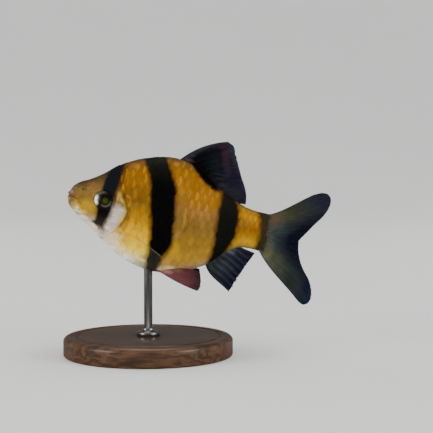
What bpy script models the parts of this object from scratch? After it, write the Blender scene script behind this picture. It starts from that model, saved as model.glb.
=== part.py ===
# Tiger barb, life size, swimming nose up on a plain display stand.
# Row frame: metres, +Z up, origin at the middle of the stand's underside. The fish faces -X, its left -Y.
# The fish itself is modelled level in its own frame: x runs from the snout to the tail, y to its right, z up.

import math

import bmesh
import bpy
import numpy as np
from mathutils import Matrix, Vector

MM = 0.001

# Driving sizes, in millimetres
STANDARD_LENGTH = 52.0  # snout to the root of the tail fin
TOTAL_LENGTH = 67.0  # snout to the tips of the tail fin
NOSE_UP_DEG = 13.0
TAIL_SWING, SWING_FROM = 4.0, 24.0  # how far the tail's tips swing to the right, and where the bend begins
GAP = 0.3  # between pieces that touch
WELD = 0.0005  # points closer than this are one

# The body's outline: behind the snout, back and belly above the axis, half width, squareness of the section
OUTLINE = (
    (0.0, 2.9, -0.8, 1.6, 2.2),
    (2.1, 4.9, -2.45, 2.2, 2.2),
    (4.6, 6.3, -4.15, 2.8, 2.2),
    (7.6, 8.4, -5.8, 3.45, 2.3),
    (11.2, 11.6, -8.4, 4.15, 2.4),
    (15.3, 14.0, -10.9, 4.85, 2.3),
    (20.0, 15.8, -12.7, 5.4, 2.1),
    (25.5, 16.7, -13.4, 5.6, 2.0),
    (30.5, 15.7, -12.8, 5.25, 2.0),
    (35.0, 13.3, -11.0, 4.6, 2.0),
    (39.0, 10.9, -8.5, 3.8, 2.0),
    (42.6, 9.3, -4.9, 3.0, 2.0),
    (45.4, 8.4, -2.75, 2.45, 2.0),
    (49.0, 7.9, -2.1, 1.75, 2.0),
    (STANDARD_LENGTH, 7.9, -2.2, 1.05, 2.0),
)
NOSE_ROUNDING = 1.1
TAIL_CAP = 0.35  # how far the body's end is drawn out inside the tail fin's root
STATIONS, GIRTH_POINTS = 52, 36
EVEN_SHARE, CROWDING = 0.35, 1.7  # how the stations crowd towards the snout

# Head, in side view: behind the snout and above the axis. Lines run on past the body where they cut it.
MOUTH = ((-2.0, 1.25), (0.3, 1.15), (1.6, 0.95), (2.9, 0.55))
JAW_BACK = ((2.9, 0.55), (4.3, -0.9), (5.6, -3.2), (6.4, -6.0), (6.6, -9.0))
GILL_EDGE = ((10.6, 17.0), (11.7, 10.0), (13.6, 6.2), (15.2, 2.6), (15.7, -0.6),
             (14.9, -3.6), (12.9, -6.2), (10.6, -8.4), (8.6, -12.0))
COVER_FRONT = ((12.9, 5.6), (12.6, 3.6), (12.5, 0.8), (12.0, -1.6), (11.0, -4.3), (9.4, -6.6), (7.0, -9.4))
COVER_TOP, COVER_FOOT = 5.9, -11.0
COVER_INNER = 1.1  # from the middle plane to a cover's lower edge, under the throat
COVER_PROUD, COVER_THICK = 0.22, 0.85
RECESS_OVERRUN = 0.9  # how far a cover's recess runs past the gill slit
NOSTRILS = ((4.3, 3.75, 0.42), (5.0, 4.2, 0.34))  # place and radius
NOSTRIL_DEPTH = 0.8  # of the radius
EYE_PLACE = (9.5, 1.95)
EYE_RADIUS, EYE_DEPTH, EYE_PROUD = 2.5, 1.55, 0.55  # from the side, half its depth, how far it stands out
LIP_RADIUS, LIP_TAPER = 0.45, 0.55  # at the front, and the share lost towards the corner
LIP_SUNK, LIP_INSET = 0.16, 0.93  # depth of a lip's middle in front, and its share of the width there
UPPER_LIP, LOWER_LIP = 0.73, -0.45  # from the line of the mouth to the lips' middles

TRUNK_END = 44.9

# Fins: half thicknesses, and shares of the spacing between two rays and of a ray's length
MEMBRANE_HALF, RAY_HALF = 0.25, 0.4
RAY_SIDE, NOTCH = 0.24, 0.02
ROOT_SPREAD = 0.18  # of a ray's length, over which the thick root thins out
SUNK = 0.9  # how deep a fin's foot is set before it is cut clear of the body

# Each fin's root line and outer margin, how its leading and last rays bow, its rays and rows of points, and
# half its thickness at the roots of those two rays. A root of two numbers follows the back or the belly.
DORSAL = {
    "root": (26.2, 42.4),
    "margin": ((37.2, 23.8), (38.7, 23.0), (40.0, 20.9), (41.4, 18.3), (42.9, 15.4), (44.2, 13.2),
               (44.7, 11.2), (44.8, 9.7)),
    "bow": (1.5, 0.1),
    "rays": 12,
    "rows": 7,
    "roots": (0.65, 0.5),
}
ANAL = {
    "root": (38.7, 45.2),
    "margin": ((45.8, -14.2), (46.5, -13.0), (47.4, -10.4), (48.4, -7.8), (49.4, -5.2), (50.3, -2.9)),
    "bow": (-1.25, 0.0),
    "rays": 8,
    "rows": 6,
    "roots": (0.65, 0.5),
}
CAUDAL_ROOT = ((51.1, 7.1), (51.5, 5.0), (51.6, 2.85), (51.5, 0.7), (51.1, -1.4))
CAUDAL_UPPER = {
    "margin": ((65.0, 16.2), (66.0, 15.5), (66.5, 13.2), (65.7, 10.4), (63.8, 7.8), (61.9, 5.2),
               (61.3, 2.95)),
    "bow": (-0.35, 0.0),
    "early": True,
    "rays": 10,
    "rows": 8,
    "roots": (0.5, 0.9),
}
CAUDAL_LOWER = {
    "margin": ((66.1, -13.05), (67.3, -12.6), (67.1, -10.6), (66.0, -7.8), (64.2, -5.2), (62.4, -2.6),
               (61.5, 0.2), (61.25, 2.6)),
    "bow": (-0.65, 0.0),
    "rays": 10,
    "rows": 8,
    "roots": (0.5, 0.9),
}
PELVIC = {
    "root": ((26.7, 1.2, -12.5), (28.2, 1.7, -11.8), (29.6, 2.2, -10.9)),
    "margin": ((38.2, 3.3, -15.4), (38.6, 3.5, -14.5), (38.2, 3.7, -12.4), (37.5, 3.7, -10.4)),
    "bow": (-0.4, 0.0),
    "rays": 9,
    "rows": 6,
    "roots": (0.55, 0.45),
}
PECTORAL = {
    "root": ((15.9, -4.4), (15.2, -7.0)),
    "margin": ((27.5, -8.6), (27.8, -10.0), (27.0, -11.7), (25.2, -12.7), (22.6, -12.8), (19.8, -11.6)),
    "bow": (0.5, 0.0),
    "off_flank": (0.1, 1.7),  # at the root and at the margin
    "lean": 0.35,  # how far a tip follows the flank of the level above it
    "rays": 11,
    "rows": 6,
    "roots": (0.45, 0.45),
}

# Stand
BASE_RADIUS, BASE_HEIGHT, BASE_EDGE = 22.0, 5.0, 1.2
ROD_RADIUS, FLANGE_RADIUS, FLANGE_HEIGHT = 1.1, 3.0, 0.9
BEVEL = 0.4  # of the base's lower edge and the rod's flange
HELD_AT = 24.5  # behind the snout, where the rod meets the belly
BELLY_HEIGHT = 22.0  # of that place above the floor

FAR, ACROSS = 30.0, 15.0  # reach of the cutters beyond the fish, in side view and to each side


def smooth(table, column, x):
    """A smooth curve through one column of a table whose first column is x."""
    rows = np.array(table, float)
    xs, ys = rows[:, 0], rows[:, column]
    x = np.clip(np.asarray(x, float), xs[0], xs[-1])
    slopes = np.gradient(ys, xs)
    i = np.clip(np.searchsorted(xs, x, side="right") - 1, 0, len(xs) - 2)
    span = xs[i + 1] - xs[i]
    t = (x - xs[i]) / span
    rise = (3 - 2 * t) * t * t
    lean = t * (1 - t) ** 2 * slopes[i] - t * t * (1 - t) * slopes[i + 1]
    return ys[i] * (1 - rise) + ys[i + 1] * rise + span * lean


def eased(points, per_stretch=6):
    """Points along a smooth curve through a few points of any dimension, by their spacing."""
    points = np.array(points, float)
    steps = np.linalg.norm(np.diff(points, axis=0), axis=1)
    along = np.concatenate([[0.0], np.cumsum(steps)])
    table = np.column_stack([along, points])
    at = np.linspace(0, along[-1], per_stretch * (len(points) - 1) + 1)
    return np.stack([smooth(table, k + 1, at) for k in range(points.shape[1])], axis=1)


def swing(x):
    """Sideways bend of the backbone at x."""
    share = np.clip((np.asarray(x, float) - SWING_FROM) / (TOTAL_LENGTH - SWING_FROM), 0, None)
    return TAIL_SWING * share**2


def section(x):
    """Middle height, half height, half width and squareness of the body at x."""
    back, belly, half, square = (smooth(OUTLINE, k, x) for k in (1, 2, 3, 4))
    nose = np.sqrt(1 - (1 - np.clip(np.asarray(x, float) / NOSE_ROUNDING, 0, 1)) ** 2)
    return (back + belly) / 2, (back - belly) / 2 * nose, half * nose, square


def flank(x, z):
    """Half width of the body at x and height z."""
    middle, high, half, square = section(x)
    reach = np.clip(np.abs((z - middle) / high), 0, 1)
    return half * (1 - reach**square) ** (1 / square)


def link(obj, collection):
    bpy.data.collections[collection].objects.link(obj)
    return obj


def welded(name, mesh):
    """A helper object with the mesh's loose seams closed and its faces turned out."""
    solid = bmesh.new()
    solid.from_mesh(mesh)
    bmesh.ops.remove_doubles(solid, verts=solid.verts, dist=WELD * MM)
    bmesh.ops.recalc_face_normals(solid, faces=solid.faces)
    solid.to_mesh(mesh)
    solid.free()
    return link(bpy.data.objects.new(name, mesh), "helpers")


def mesh_object(name, points, faces):
    """A closed helper object from points in millimetres."""
    mesh = bpy.data.meshes.new(name)
    mesh.from_pydata([[c * MM for c in p] for p in points], [], faces)
    return welded(name, mesh)


def body(name, inflate=0.0):
    """The whole body from snout to tail root as one closed loft, grown by inflate."""
    share = np.linspace(0, 1, STATIONS)
    xs = STANDARD_LENGTH * (EVEN_SHARE * share + (1 - EVEN_SHARE) * share**CROWDING)
    xs[0] = NOSE_ROUNDING / 100
    angles = np.linspace(0, 2 * math.pi, GIRTH_POINTS, endpoint=False)
    points, faces = [], []
    for x in xs:
        middle, high, half, square = section(x)
        power = 2 / square
        for angle in angles:
            c, s = math.cos(angle), math.sin(angle)
            y = swing(x) - half * math.copysign(abs(c) ** power, c)
            points.append((x, y, middle + high * math.copysign(abs(s) ** power, s)))
    for i in range(STATIONS - 1):
        for j in range(GIRTH_POINTS):
            a, b = i * GIRTH_POINTS + j, i * GIRTH_POINTS + (j + 1) % GIRTH_POINTS
            faces.append((a, b, b + GIRTH_POINTS, a + GIRTH_POINTS))
    last = (STATIONS - 1) * GIRTH_POINTS
    faces.append(tuple(range(GIRTH_POINTS)))
    end = len(points)
    points.append((STANDARD_LENGTH + TAIL_CAP, swing(STANDARD_LENGTH), section(STANDARD_LENGTH)[0]))
    for j in range(GIRTH_POINTS):
        faces.append((last + j, last + (j + 1) % GIRTH_POINTS, end))
    made = mesh_object(name, points, faces)
    if inflate:
        grown = bmesh.new()
        grown.from_mesh(made.data)
        grown.normal_update()
        for vert in grown.verts:
            vert.co += vert.normal * inflate * MM
        grown.to_mesh(made.data)
        grown.free()
    return made


def prism(name, outline, y_from=-ACROSS, y_to=ACROSS):
    """A side-view outline carried through from y_from to y_to."""
    curve = bpy.data.curves.new(name, "CURVE")
    curve.dimensions = "2D"
    curve.fill_mode = "BOTH"
    curve.extrude = (y_to - y_from) / 2 * MM
    spline = curve.splines.new("POLY")
    spline.points.add(len(outline) - 1)
    for point, (x, z) in zip(spline.points, outline):
        point.co = (x * MM, z * MM, 0, 1)
    spline.use_cyclic_u = True
    flat = link(bpy.data.objects.new(name + "_curve", curve), "helpers")
    flat.rotation_euler = (math.pi / 2, 0, 0)
    flat.location = (0, (y_from + y_to) / 2 * MM, 0)
    mesh = evaluated_mesh(flat)
    mesh.transform(flat.matrix_world)
    discard(flat)
    return welded(name, mesh)


def evaluated_mesh(obj):
    bpy.context.view_layer.update()
    graph = bpy.context.evaluated_depsgraph_get()
    return bpy.data.meshes.new_from_object(obj.evaluated_get(graph))


def carve(target, operation, *tools):
    """Applies one Boolean after another to target. The tools are kept."""
    for tool in tools:
        modifier = target.modifiers.new(tool.name, "BOOLEAN")
        modifier.operation = operation
        modifier.object = tool
        mesh = evaluated_mesh(target)
        target.modifiers.clear()
        target.data = mesh
    return target


def fuse(target, pieces):
    """Joins the pieces to target in one union, and removes them."""
    group = bpy.data.collections.new(target.name + "_pieces")
    for piece in pieces:
        group.objects.link(piece)
    modifier = target.modifiers.new("union", "BOOLEAN")
    modifier.operation = "UNION"
    modifier.operand_type = "COLLECTION"
    modifier.collection = group
    mesh = evaluated_mesh(target)
    target.modifiers.clear()
    target.data = mesh
    discard(*pieces)
    bpy.data.collections.remove(group)
    return keep_largest(target)


def keep_largest(obj):
    """Leaves only the closed surface with the most volume."""
    solid = bmesh.new()
    solid.from_mesh(obj.data)
    left, islands = set(solid.faces), []
    while left:
        island, edge = set(), [left.pop()]
        while edge:
            face = edge.pop()
            island.add(face)
            near = {f for e in face.edges for f in e.link_faces} & left
            left -= near
            edge.extend(near)
        islands.append(island)
    largest = max(islands, key=volume)
    scraps = [f for island in islands if island is not largest for f in island]
    bmesh.ops.delete(solid, geom=scraps, context="FACES")
    solid.to_mesh(obj.data)
    solid.free()
    return obj


def volume(faces):
    total = 0.0
    for face in faces:
        first = face.verts[0].co
        for a, b in zip(face.verts[1:-1], face.verts[2:]):
            total += first.dot(a.co.cross(b.co)) / 6
    return total


def discard(*objects):
    for obj in objects:
        bpy.data.objects.remove(obj)


def copy_of(obj, name):
    return link(bpy.data.objects.new(name, obj.data.copy()), "helpers")


def ball(name, place, radii, segments, rings):
    """An ellipsoid at a place, with its poles along y."""
    made = bmesh.new()
    bmesh.ops.create_uvsphere(made, u_segments=segments, v_segments=rings, radius=MM)
    turn = Matrix.Rotation(math.pi / 2, 4, "X")
    size = Matrix.Diagonal((*radii, 1.0))
    spot = Matrix.Translation(Vector(place) * MM)
    bmesh.ops.transform(made, matrix=spot @ size @ turn, verts=made.verts)
    mesh = bpy.data.meshes.new(name)
    made.to_mesh(mesh)
    made.free()
    return link(bpy.data.objects.new(name, mesh), "helpers")


def gill_line(shift=0.0):
    """The gill slit in side view, from the nape to the throat, moved towards the tail by shift."""
    return [(x + shift, z) for x, z in eased(GILL_EDGE, 4)]


def head_parts(whole):
    """Head, lower jaw and the two gill covers, parted from the whole body by thin cuts."""
    head_space = prism("head_space", [(-FAR, FAR)] + gill_line(-GAP / 2) + [(-FAR, -FAR)])
    jaw_line = eased(MOUTH[:-1] + JAW_BACK, 4)
    jaw_space = prism("jaw_space", [(-FAR, jaw_line[0][1])] + list(jaw_line) + [(-FAR, jaw_line[-1][1])])
    jaw_cut_line = jaw_line + outward(jaw_line) * GAP
    jaw_cut = prism("jaw_cut", [(-FAR, jaw_cut_line[0][1])] + list(jaw_cut_line) + [(-FAR, -FAR)])

    head = carve(copy_of(whole, "head"), "INTERSECT", head_space)
    jaw = carve(copy_of(whole, "lower_jaw"), "INTERSECT", jaw_space)
    carve(head, "DIFFERENCE", jaw_cut)

    proud = body("proud_body", COVER_PROUD)
    under = body("under_body", COVER_PROUD - COVER_THICK)
    bed = body("bed_body", COVER_PROUD - COVER_THICK - GAP)
    covers = []
    for side, name in ((-1, "gill_cover_left"), (1, "gill_cover_right")):
        plate_space = prism(name + "_space", cover_outline(), *sorted((side * COVER_INNER, side * ACROSS)))
        recess = prism(name + "_recess", cover_outline(GAP, RECESS_OVERRUN),
                       *sorted((side * (COVER_INNER - GAP), side * ACROSS)))
        cover = carve(copy_of(proud, name), "INTERSECT", plate_space)
        carve(cover, "DIFFERENCE", under)
        carve(recess, "DIFFERENCE", bed)
        carve(head, "DIFFERENCE", recess)
        covers.append(keep_largest(cover))
        discard(plate_space, recess)
    discard(proud, bed, under, head_space, jaw_space, jaw_cut)
    return keep_largest(head), keep_largest(jaw), covers


def outward(line):
    """Unit normals of a side-view line, on its upper and rear side as it runs towards the tail and down."""
    way = np.gradient(line, axis=0)
    way /= np.linalg.norm(way, axis=1, keepdims=True)
    return np.column_stack([-way[:, 1], way[:, 0]])


def cover_outline(grow=0.0, overrun=0.0):
    """A gill cover in side view. Its rear edge is the gill slit's front side."""
    slit = np.array(gill_line(overrun - GAP / 2))[::-1]
    heights = np.linspace(COVER_TOP + grow, COVER_FOOT - grow, 16)
    rear = [(np.interp(z, slit[:, 1], slit[:, 0]), z) for z in heights]
    front = [(x - grow, z) for x, z in eased(COVER_FRONT, 3)]
    front = [(front[0][0], COVER_TOP + grow)] + front + [(front[-1][0], COVER_FOOT - grow)]
    return rear + front[::-1]


def lip(name, rise):
    """One lip as a tapered roll round the front of the mouth, from corner to corner."""
    line = eased(MOUTH[1:], 4)
    corner = MOUTH[-1][0]
    side = []
    for x in corner * np.linspace(1, 0.07, 9) ** 2:
        z = np.interp(x, line[:, 0], line[:, 1])
        side.append((x, flank(x, z), z + rise))
    path = [(x, -y, z) for x, y, z in side] + side[::-1]
    curve = bpy.data.curves.new(name, "CURVE")
    curve.dimensions = "3D"
    curve.bevel_depth = LIP_RADIUS * MM
    curve.bevel_resolution = 2
    curve.use_fill_caps = True
    spline = curve.splines.new("POLY")
    spline.points.add(len(path) - 1)
    for point, (x, y, z) in zip(spline.points, path):
        point.co = ((x + LIP_SUNK) * MM, y * LIP_INSET * MM, z * MM, 1)
        point.radius = 1.0 - LIP_TAPER * x / corner
    tube = link(bpy.data.objects.new(name + "_curve", curve), "helpers")
    mesh = evaluated_mesh(tube)
    discard(tube)
    return welded(name, mesh)


def face(head, jaw):
    """Lips, nostrils and eye sockets on the head and jaw, and the two eyes."""
    fuse(head, [lip("upper_lip", UPPER_LIP)])
    fuse(jaw, [lip("lower_lip", LOWER_LIP)])
    eyes = []
    for side, name in ((-1, "eye_left"), (1, "eye_right")):
        x, z = EYE_PLACE
        place = (x, side * (flank(x, z) - EYE_DEPTH + EYE_PROUD), z)
        radii = (EYE_RADIUS, EYE_DEPTH, EYE_RADIUS)
        eyes.append(ball(name, place, radii, 24, 14))
        cutters = [ball("socket", place, [r + GAP for r in radii], 24, 14)]
        for x, z, radius in NOSTRILS:
            radii = (radius, radius, radius * NOSTRIL_DEPTH)
            cutters.append(ball("nostril", (x, side * flank(x, z), z), radii, 10, 6))
        carve(head, "DIFFERENCE", *cutters)
        discard(*cutters)
    return eyes, keep_largest(head), keep_largest(jaw)


def trunk_and_stalk(whole):
    """The trunk behind the gill slit, and the stalk that carries the tail fin."""
    slit = gill_line(GAP / 2)
    trunk_space = prism("trunk_space", slit + [(slit[-1][0], -FAR), (TRUNK_END, -FAR), (TRUNK_END, FAR),
                                               (slit[0][0], FAR)])
    start, end = TRUNK_END + GAP, STANDARD_LENGTH + FAR
    stalk_space = prism("stalk_space", [(start, FAR), (end, FAR), (end, -FAR), (start, -FAR)])
    trunk = carve(copy_of(whole, "trunk"), "INTERSECT", trunk_space)
    stalk = carve(copy_of(whole, "tail_stalk"), "INTERSECT", stalk_space)
    discard(trunk_space, stalk_space)
    return keep_largest(trunk), keep_largest(stalk)


def fin_sheet(name, fin, surface):
    """A closed fin with one ridge a ray. surface(s, t) gives points in millimetres: s runs over the rays from
    the leading one to the last, t from the root to the tip. Both faces are split into triangles alike."""
    last = fin["rays"] - 1
    columns = []
    for ray in range(fin["rays"]):
        for offset, crest in ((-RAY_SIDE, MEMBRANE_HALF), (0, RAY_HALF), (RAY_SIDE, MEMBRANE_HALF)):
            if 0 <= ray + offset <= last:
                columns.append(((ray + offset) / last, crest, 1.0 if offset == 0 else 1.0 - NOTCH))
    ts = np.linspace(0, 1, fin["rows"] + 1)
    places = np.zeros((len(columns), len(ts), 3))
    halves = np.zeros((len(columns), len(ts)))
    for i, (s, crest, reach) in enumerate(columns):
        root = between(fin["roots"], s)
        for j, t in enumerate(ts):
            places[i, j] = surface(s, t * reach)
            taper = between((crest, MEMBRANE_HALF), t)
            halves[i, j] = taper + (root - taper) * math.exp(-t / ROOT_SPREAD)
    across = np.gradient(places, axis=0)
    along = np.gradient(places, axis=1)
    normals = np.cross(across, along)
    normals /= np.linalg.norm(normals, axis=2, keepdims=True)
    faces_of = [places + normals * halves[..., None], places - normals * halves[..., None]]
    points = [tuple(p) for face in faces_of for p in face.reshape(-1, 3)]
    wide, high = len(columns), len(ts)
    count = wide * high
    faces = []
    for i in range(wide - 1):
        for j in range(high - 1):
            a = i * high + j
            b, c, d = a + high, a + high + 1, a + 1
            for base, turn in ((0, 1), (count, -1)):
                for tri in ((a, b, c), (a, c, d)):
                    faces.append(tuple(base + v for v in tri[::turn]))
    rim = [i * high for i in range(wide)]
    rim += [(wide - 1) * high + j for j in range(1, high)]
    rim += [i * high + high - 1 for i in range(wide - 2, -1, -1)]
    rim += list(range(high - 2, 0, -1))
    for a, b in zip(rim, rim[1:] + rim[:1]):
        faces.append((a, b, b + count))
        faces.append((a, b + count, a + count))
    return mesh_object(name, points, faces)


def between(ends, share):
    return ends[0] + (ends[1] - ends[0]) * share


def hump(t, early=False):
    """0 at both ends of a ray and 1 at its middle, or at a third of it."""
    return 6.75 * t * (1 - t) ** 2 if early else 4 * t * (1 - t)


def median_fin(name, fin, root):
    """A fin on the fish's middle plane, from its root line and its outer margin in side view."""
    root_line, margin_line = eased(root), eased(fin["margin"])

    def surface(s, t):
        start, end = at_share(root_line, s), at_share(margin_line, s)
        chord = end - start
        square = np.array([-chord[1], chord[0]]) / np.linalg.norm(chord)
        x, z = start + chord * t + square * between(fin["bow"], s) * hump(t, fin.get("early", False))
        return x, swing(x), z

    return fin_sheet(name, fin, surface)


def at_share(line, share):
    """The point at a share of a line's length."""
    steps = np.concatenate([[0.0], np.cumsum(np.linalg.norm(np.diff(line, axis=0), axis=1))])
    at = share * steps[-1]
    return np.array([np.interp(at, steps, line[:, k]) for k in range(line.shape[1])])


def on_back(x_from, x_to, up):
    """A fin's root line along the back, or with up at -1 along the belly, sunk below the surface."""
    line = []
    for x in np.linspace(x_from, x_to, 6):
        middle, high, _, _ = section(x)
        line.append((x, middle + up * (high - SUNK)))
    return line


def caudal_fins():
    """The tail fin's two lobes, which part along its middle."""
    root = eased(CAUDAL_ROOT)
    middle = len(root) // 2
    lift = np.array([0.0, GAP / 2])
    return [
        median_fin("caudal_fin_upper", CAUDAL_UPPER, root[:middle + 1] + lift),
        median_fin("caudal_fin_lower", CAUDAL_LOWER, root[:middle - 1:-1] - lift),
    ]


def pelvic_fin(name, side):
    root, margin = eased(PELVIC["root"], 4), eased(PELVIC["margin"], 4)

    def surface(s, t):
        start, end = at_share(root, s), at_share(margin, s)
        x, y, z = start + (end - start) * t
        return x, side * y, z + between(PELVIC["bow"], s) * hump(t)

    return fin_sheet(name, PELVIC, surface)


def pectoral_fin(name, side):
    """A fin that lies back along the flank and stands off it towards its tip."""
    root, margin = eased(PECTORAL["root"], 4), eased(PECTORAL["margin"], 4)

    def surface(s, t):
        start, end = at_share(root, s), at_share(margin, s)
        x, z = start + (end - start) * t
        z += between(PECTORAL["bow"], s) * hump(t)
        level = between((z, section(x)[0]), PECTORAL["lean"] * t)
        return x, side * (flank(x, level) + between(PECTORAL["off_flank"], t)), z

    return fin_sheet(name, PECTORAL, surface)


def fins(clear):
    """All fins, each with its foot cut clear of the body."""
    made = [
        median_fin("dorsal_fin", DORSAL, on_back(*DORSAL["root"], 1)),
        median_fin("anal_fin", ANAL, on_back(*ANAL["root"], -1)),
        *caudal_fins(),
    ]
    for side, word in ((-1, "left"), (1, "right")):
        made.append(pelvic_fin("pelvic_fin_" + word, side))
        made.append(pectoral_fin("pectoral_fin_" + word, side))
    for fin in made:
        keep_largest(carve(fin, "DIFFERENCE", clear))
    return made


def turned(name, profile, steps):
    """A turned piece from a profile of (radius, height), top to bottom down its outer side."""
    mesh = bpy.data.meshes.new(name)
    points = [(r * MM, 0, z * MM) for r, z in profile]
    mesh.from_pydata(points, [(i, i + 1) for i in range(len(points) - 1)], [])
    made = link(bpy.data.objects.new(name, mesh), "tiger_barb")
    screw = made.modifiers.new("turn", "SCREW")
    screw.steps = screw.render_steps = steps
    screw.use_merge_vertices = True
    screw.merge_threshold = WELD * MM
    return made


def stand_base():
    profile = [(0, BASE_HEIGHT)]
    for angle in np.linspace(0, math.pi / 2, 5):
        profile.append((BASE_RADIUS - BASE_EDGE * (1 - math.sin(angle)),
                        BASE_HEIGHT - BASE_EDGE * (1 - math.cos(angle))))
    profile += [(BASE_RADIUS, BEVEL), (BASE_RADIUS - BEVEL, 0), (0, 0)]
    return turned("stand_base", profile, 48)


def stand_rod(place, clear):
    """The rod and its flange, which stands on the base. Its top is cut to the belly, clear of it."""
    foot = BASE_HEIGHT + GAP
    flange_top = foot + FLANGE_HEIGHT
    top = BELLY_HEIGHT + 2 * ROD_RADIUS
    rod = turned("stand_rod", [
        (0, top), (ROD_RADIUS, top), (ROD_RADIUS, flange_top), (FLANGE_RADIUS - BEVEL, flange_top),
        (FLANGE_RADIUS, flange_top - BEVEL), (FLANGE_RADIUS, foot), (0, foot),
    ], 24)
    rod.data = evaluated_mesh(rod)
    rod.modifiers.clear()
    cutter = copy_of(clear, "belly_cutter")
    cutter.data.transform(place)
    carve(rod, "DIFFERENCE", cutter)
    discard(cutter)
    return keep_largest(rod)


# Base colour, roughness and metallic value
COLOURS = {
    "flesh": ((0.62, 0.33, 0.05), 0.38, 0.0),
    "fin": ((0.09, 0.09, 0.12), 0.45, 0.0),
    "red_fin": ((0.4, 0.08, 0.09), 0.45, 0.0),
    "clear_fin": ((0.5, 0.48, 0.42), 0.4, 0.0),
    "eye": ((0.05, 0.06, 0.03), 0.08, 0.0),
    "wood": ((0.16, 0.085, 0.045), 0.45, 0.0),
    "steel": ((0.6, 0.6, 0.6), 0.3, 1.0),
}
FINISHES = {
    "dorsal_fin": "fin", "anal_fin": "fin", "caudal_fin_upper": "fin", "caudal_fin_lower": "fin",
    "pelvic_fin_left": "red_fin", "pelvic_fin_right": "red_fin",
    "pectoral_fin_left": "clear_fin", "pectoral_fin_right": "clear_fin",
    "eye_left": "eye", "eye_right": "eye", "stand_base": "wood", "stand_rod": "steel",
}


def finish(obj):
    """Its own material, and smooth shading with the sharp edges kept."""
    colour, roughness, metallic = COLOURS[FINISHES.get(obj.name, "flesh")]
    material = bpy.data.materials.new(obj.name)
    material.use_nodes = True
    shader = material.node_tree.nodes["Principled BSDF"]
    shader.inputs["Base Color"].default_value = (*colour, 1.0)
    shader.inputs["Roughness"].default_value = roughness
    shader.inputs["Metallic"].default_value = metallic
    obj.data.materials.clear()
    obj.data.materials.append(material)
    obj.data.shade_smooth()
    obj.data.set_sharp_from_angle(angle=math.radians(40))


def swimming_pose():
    """Where the level fish stands in the row frame: nose up, the held place of its belly over the origin."""
    middle, high, _, _ = section(HELD_AT)
    held = Vector((HELD_AT, 0, middle - high)) * MM
    lift = Matrix.Translation((0, 0, BELLY_HEIGHT * MM))
    return lift @ Matrix.Rotation(math.radians(NOSE_UP_DEG), 4, "Y") @ Matrix.Translation(-held)


def clear_scene():
    for obj in list(bpy.data.objects):
        bpy.data.objects.remove(obj)
    for name in ("tiger_barb", "helpers"):
        bpy.context.scene.collection.children.link(bpy.data.collections.new(name))


def main():
    clear_scene()
    whole = body("whole_body")
    head, jaw, covers = head_parts(whole)
    eyes, head, jaw = face(head, jaw)
    trunk, stalk = trunk_and_stalk(whole)
    clear = body("clear_body", GAP)
    fish = [head, jaw, *covers, *eyes, trunk, stalk, *fins(clear)]
    place = swimming_pose()
    stand = [stand_base(), stand_rod(place, clear)]
    discard(whole, clear)

    pose = link(bpy.data.objects.new("swimming_pose", None), "tiger_barb")
    pose.matrix_world = place
    for obj in fish:
        bpy.data.collections["helpers"].objects.unlink(obj)
        link(obj, "tiger_barb").parent = pose
    for obj in fish + stand:
        finish(obj)
    bpy.data.collections.remove(bpy.data.collections["helpers"])


main()
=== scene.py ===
# Tiger barb, a life-size museum model: skin, overlapping scales, rayed fins and glass eyes on a turned stand.
# Millimetres in the fish's own level frame, x from snout to tail, y to its right and z up, until toRow().
import math

import bpy
import numpy as np
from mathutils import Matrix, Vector


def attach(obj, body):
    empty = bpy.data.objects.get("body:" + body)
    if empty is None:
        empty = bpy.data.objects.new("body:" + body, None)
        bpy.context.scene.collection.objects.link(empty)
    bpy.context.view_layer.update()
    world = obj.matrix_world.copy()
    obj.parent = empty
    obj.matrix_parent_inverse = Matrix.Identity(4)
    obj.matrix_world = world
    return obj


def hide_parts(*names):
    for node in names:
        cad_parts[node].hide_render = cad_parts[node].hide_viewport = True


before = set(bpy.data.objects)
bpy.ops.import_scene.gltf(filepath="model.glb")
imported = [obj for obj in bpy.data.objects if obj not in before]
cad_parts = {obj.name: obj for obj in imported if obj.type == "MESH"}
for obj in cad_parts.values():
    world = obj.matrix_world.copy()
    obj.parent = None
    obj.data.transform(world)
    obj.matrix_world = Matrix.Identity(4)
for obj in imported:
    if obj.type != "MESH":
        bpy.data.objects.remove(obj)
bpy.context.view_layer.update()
print("frame loaded with", len(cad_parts), "nodes")

scene = bpy.context.scene
rng = np.random.default_rng(7)
mm = 0.001

# The body's form, as in the solids: behind the snout, back and belly, half width, squareness of the section
fishForm = {
    "noseUp": 13.0,  # degrees
    "heldAt": 24.5,  # behind the snout, where the rod meets the belly
    "bellyHeight": 22.0,  # of that place above the floor
    "tailSwing": 4.0,
    "swingFrom": 24.0,
    "totalLength": 67.0,
    "standardLength": 52.0,
    "noseRounding": 1.1,
    "tailCap": 0.35,
    "tailThinning": 2.4,  # of the stalk's end into the tail fin's root
    "outline": (
        (0.0, 2.9, -0.8, 1.6, 2.2), (2.1, 4.9, -2.45, 2.2, 2.2), (4.6, 6.3, -4.15, 2.8, 2.2),
        (7.6, 8.4, -5.8, 3.45, 2.3), (11.2, 11.6, -8.4, 4.15, 2.4), (15.3, 14.0, -10.9, 4.85, 2.3),
        (20.0, 15.8, -12.7, 5.4, 2.1), (25.5, 16.7, -13.4, 5.6, 2.0), (30.5, 15.7, -12.8, 5.25, 2.0),
        (35.0, 13.3, -11.0, 4.6, 2.0), (39.0, 10.9, -8.5, 3.8, 2.0), (42.6, 9.3, -4.9, 3.0, 2.0),
        (45.4, 8.4, -2.75, 2.45, 2.0), (49.0, 7.9, -2.1, 1.75, 2.0), (52.0, 7.9, -2.2, 1.05, 2.0),
    ),
}


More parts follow.
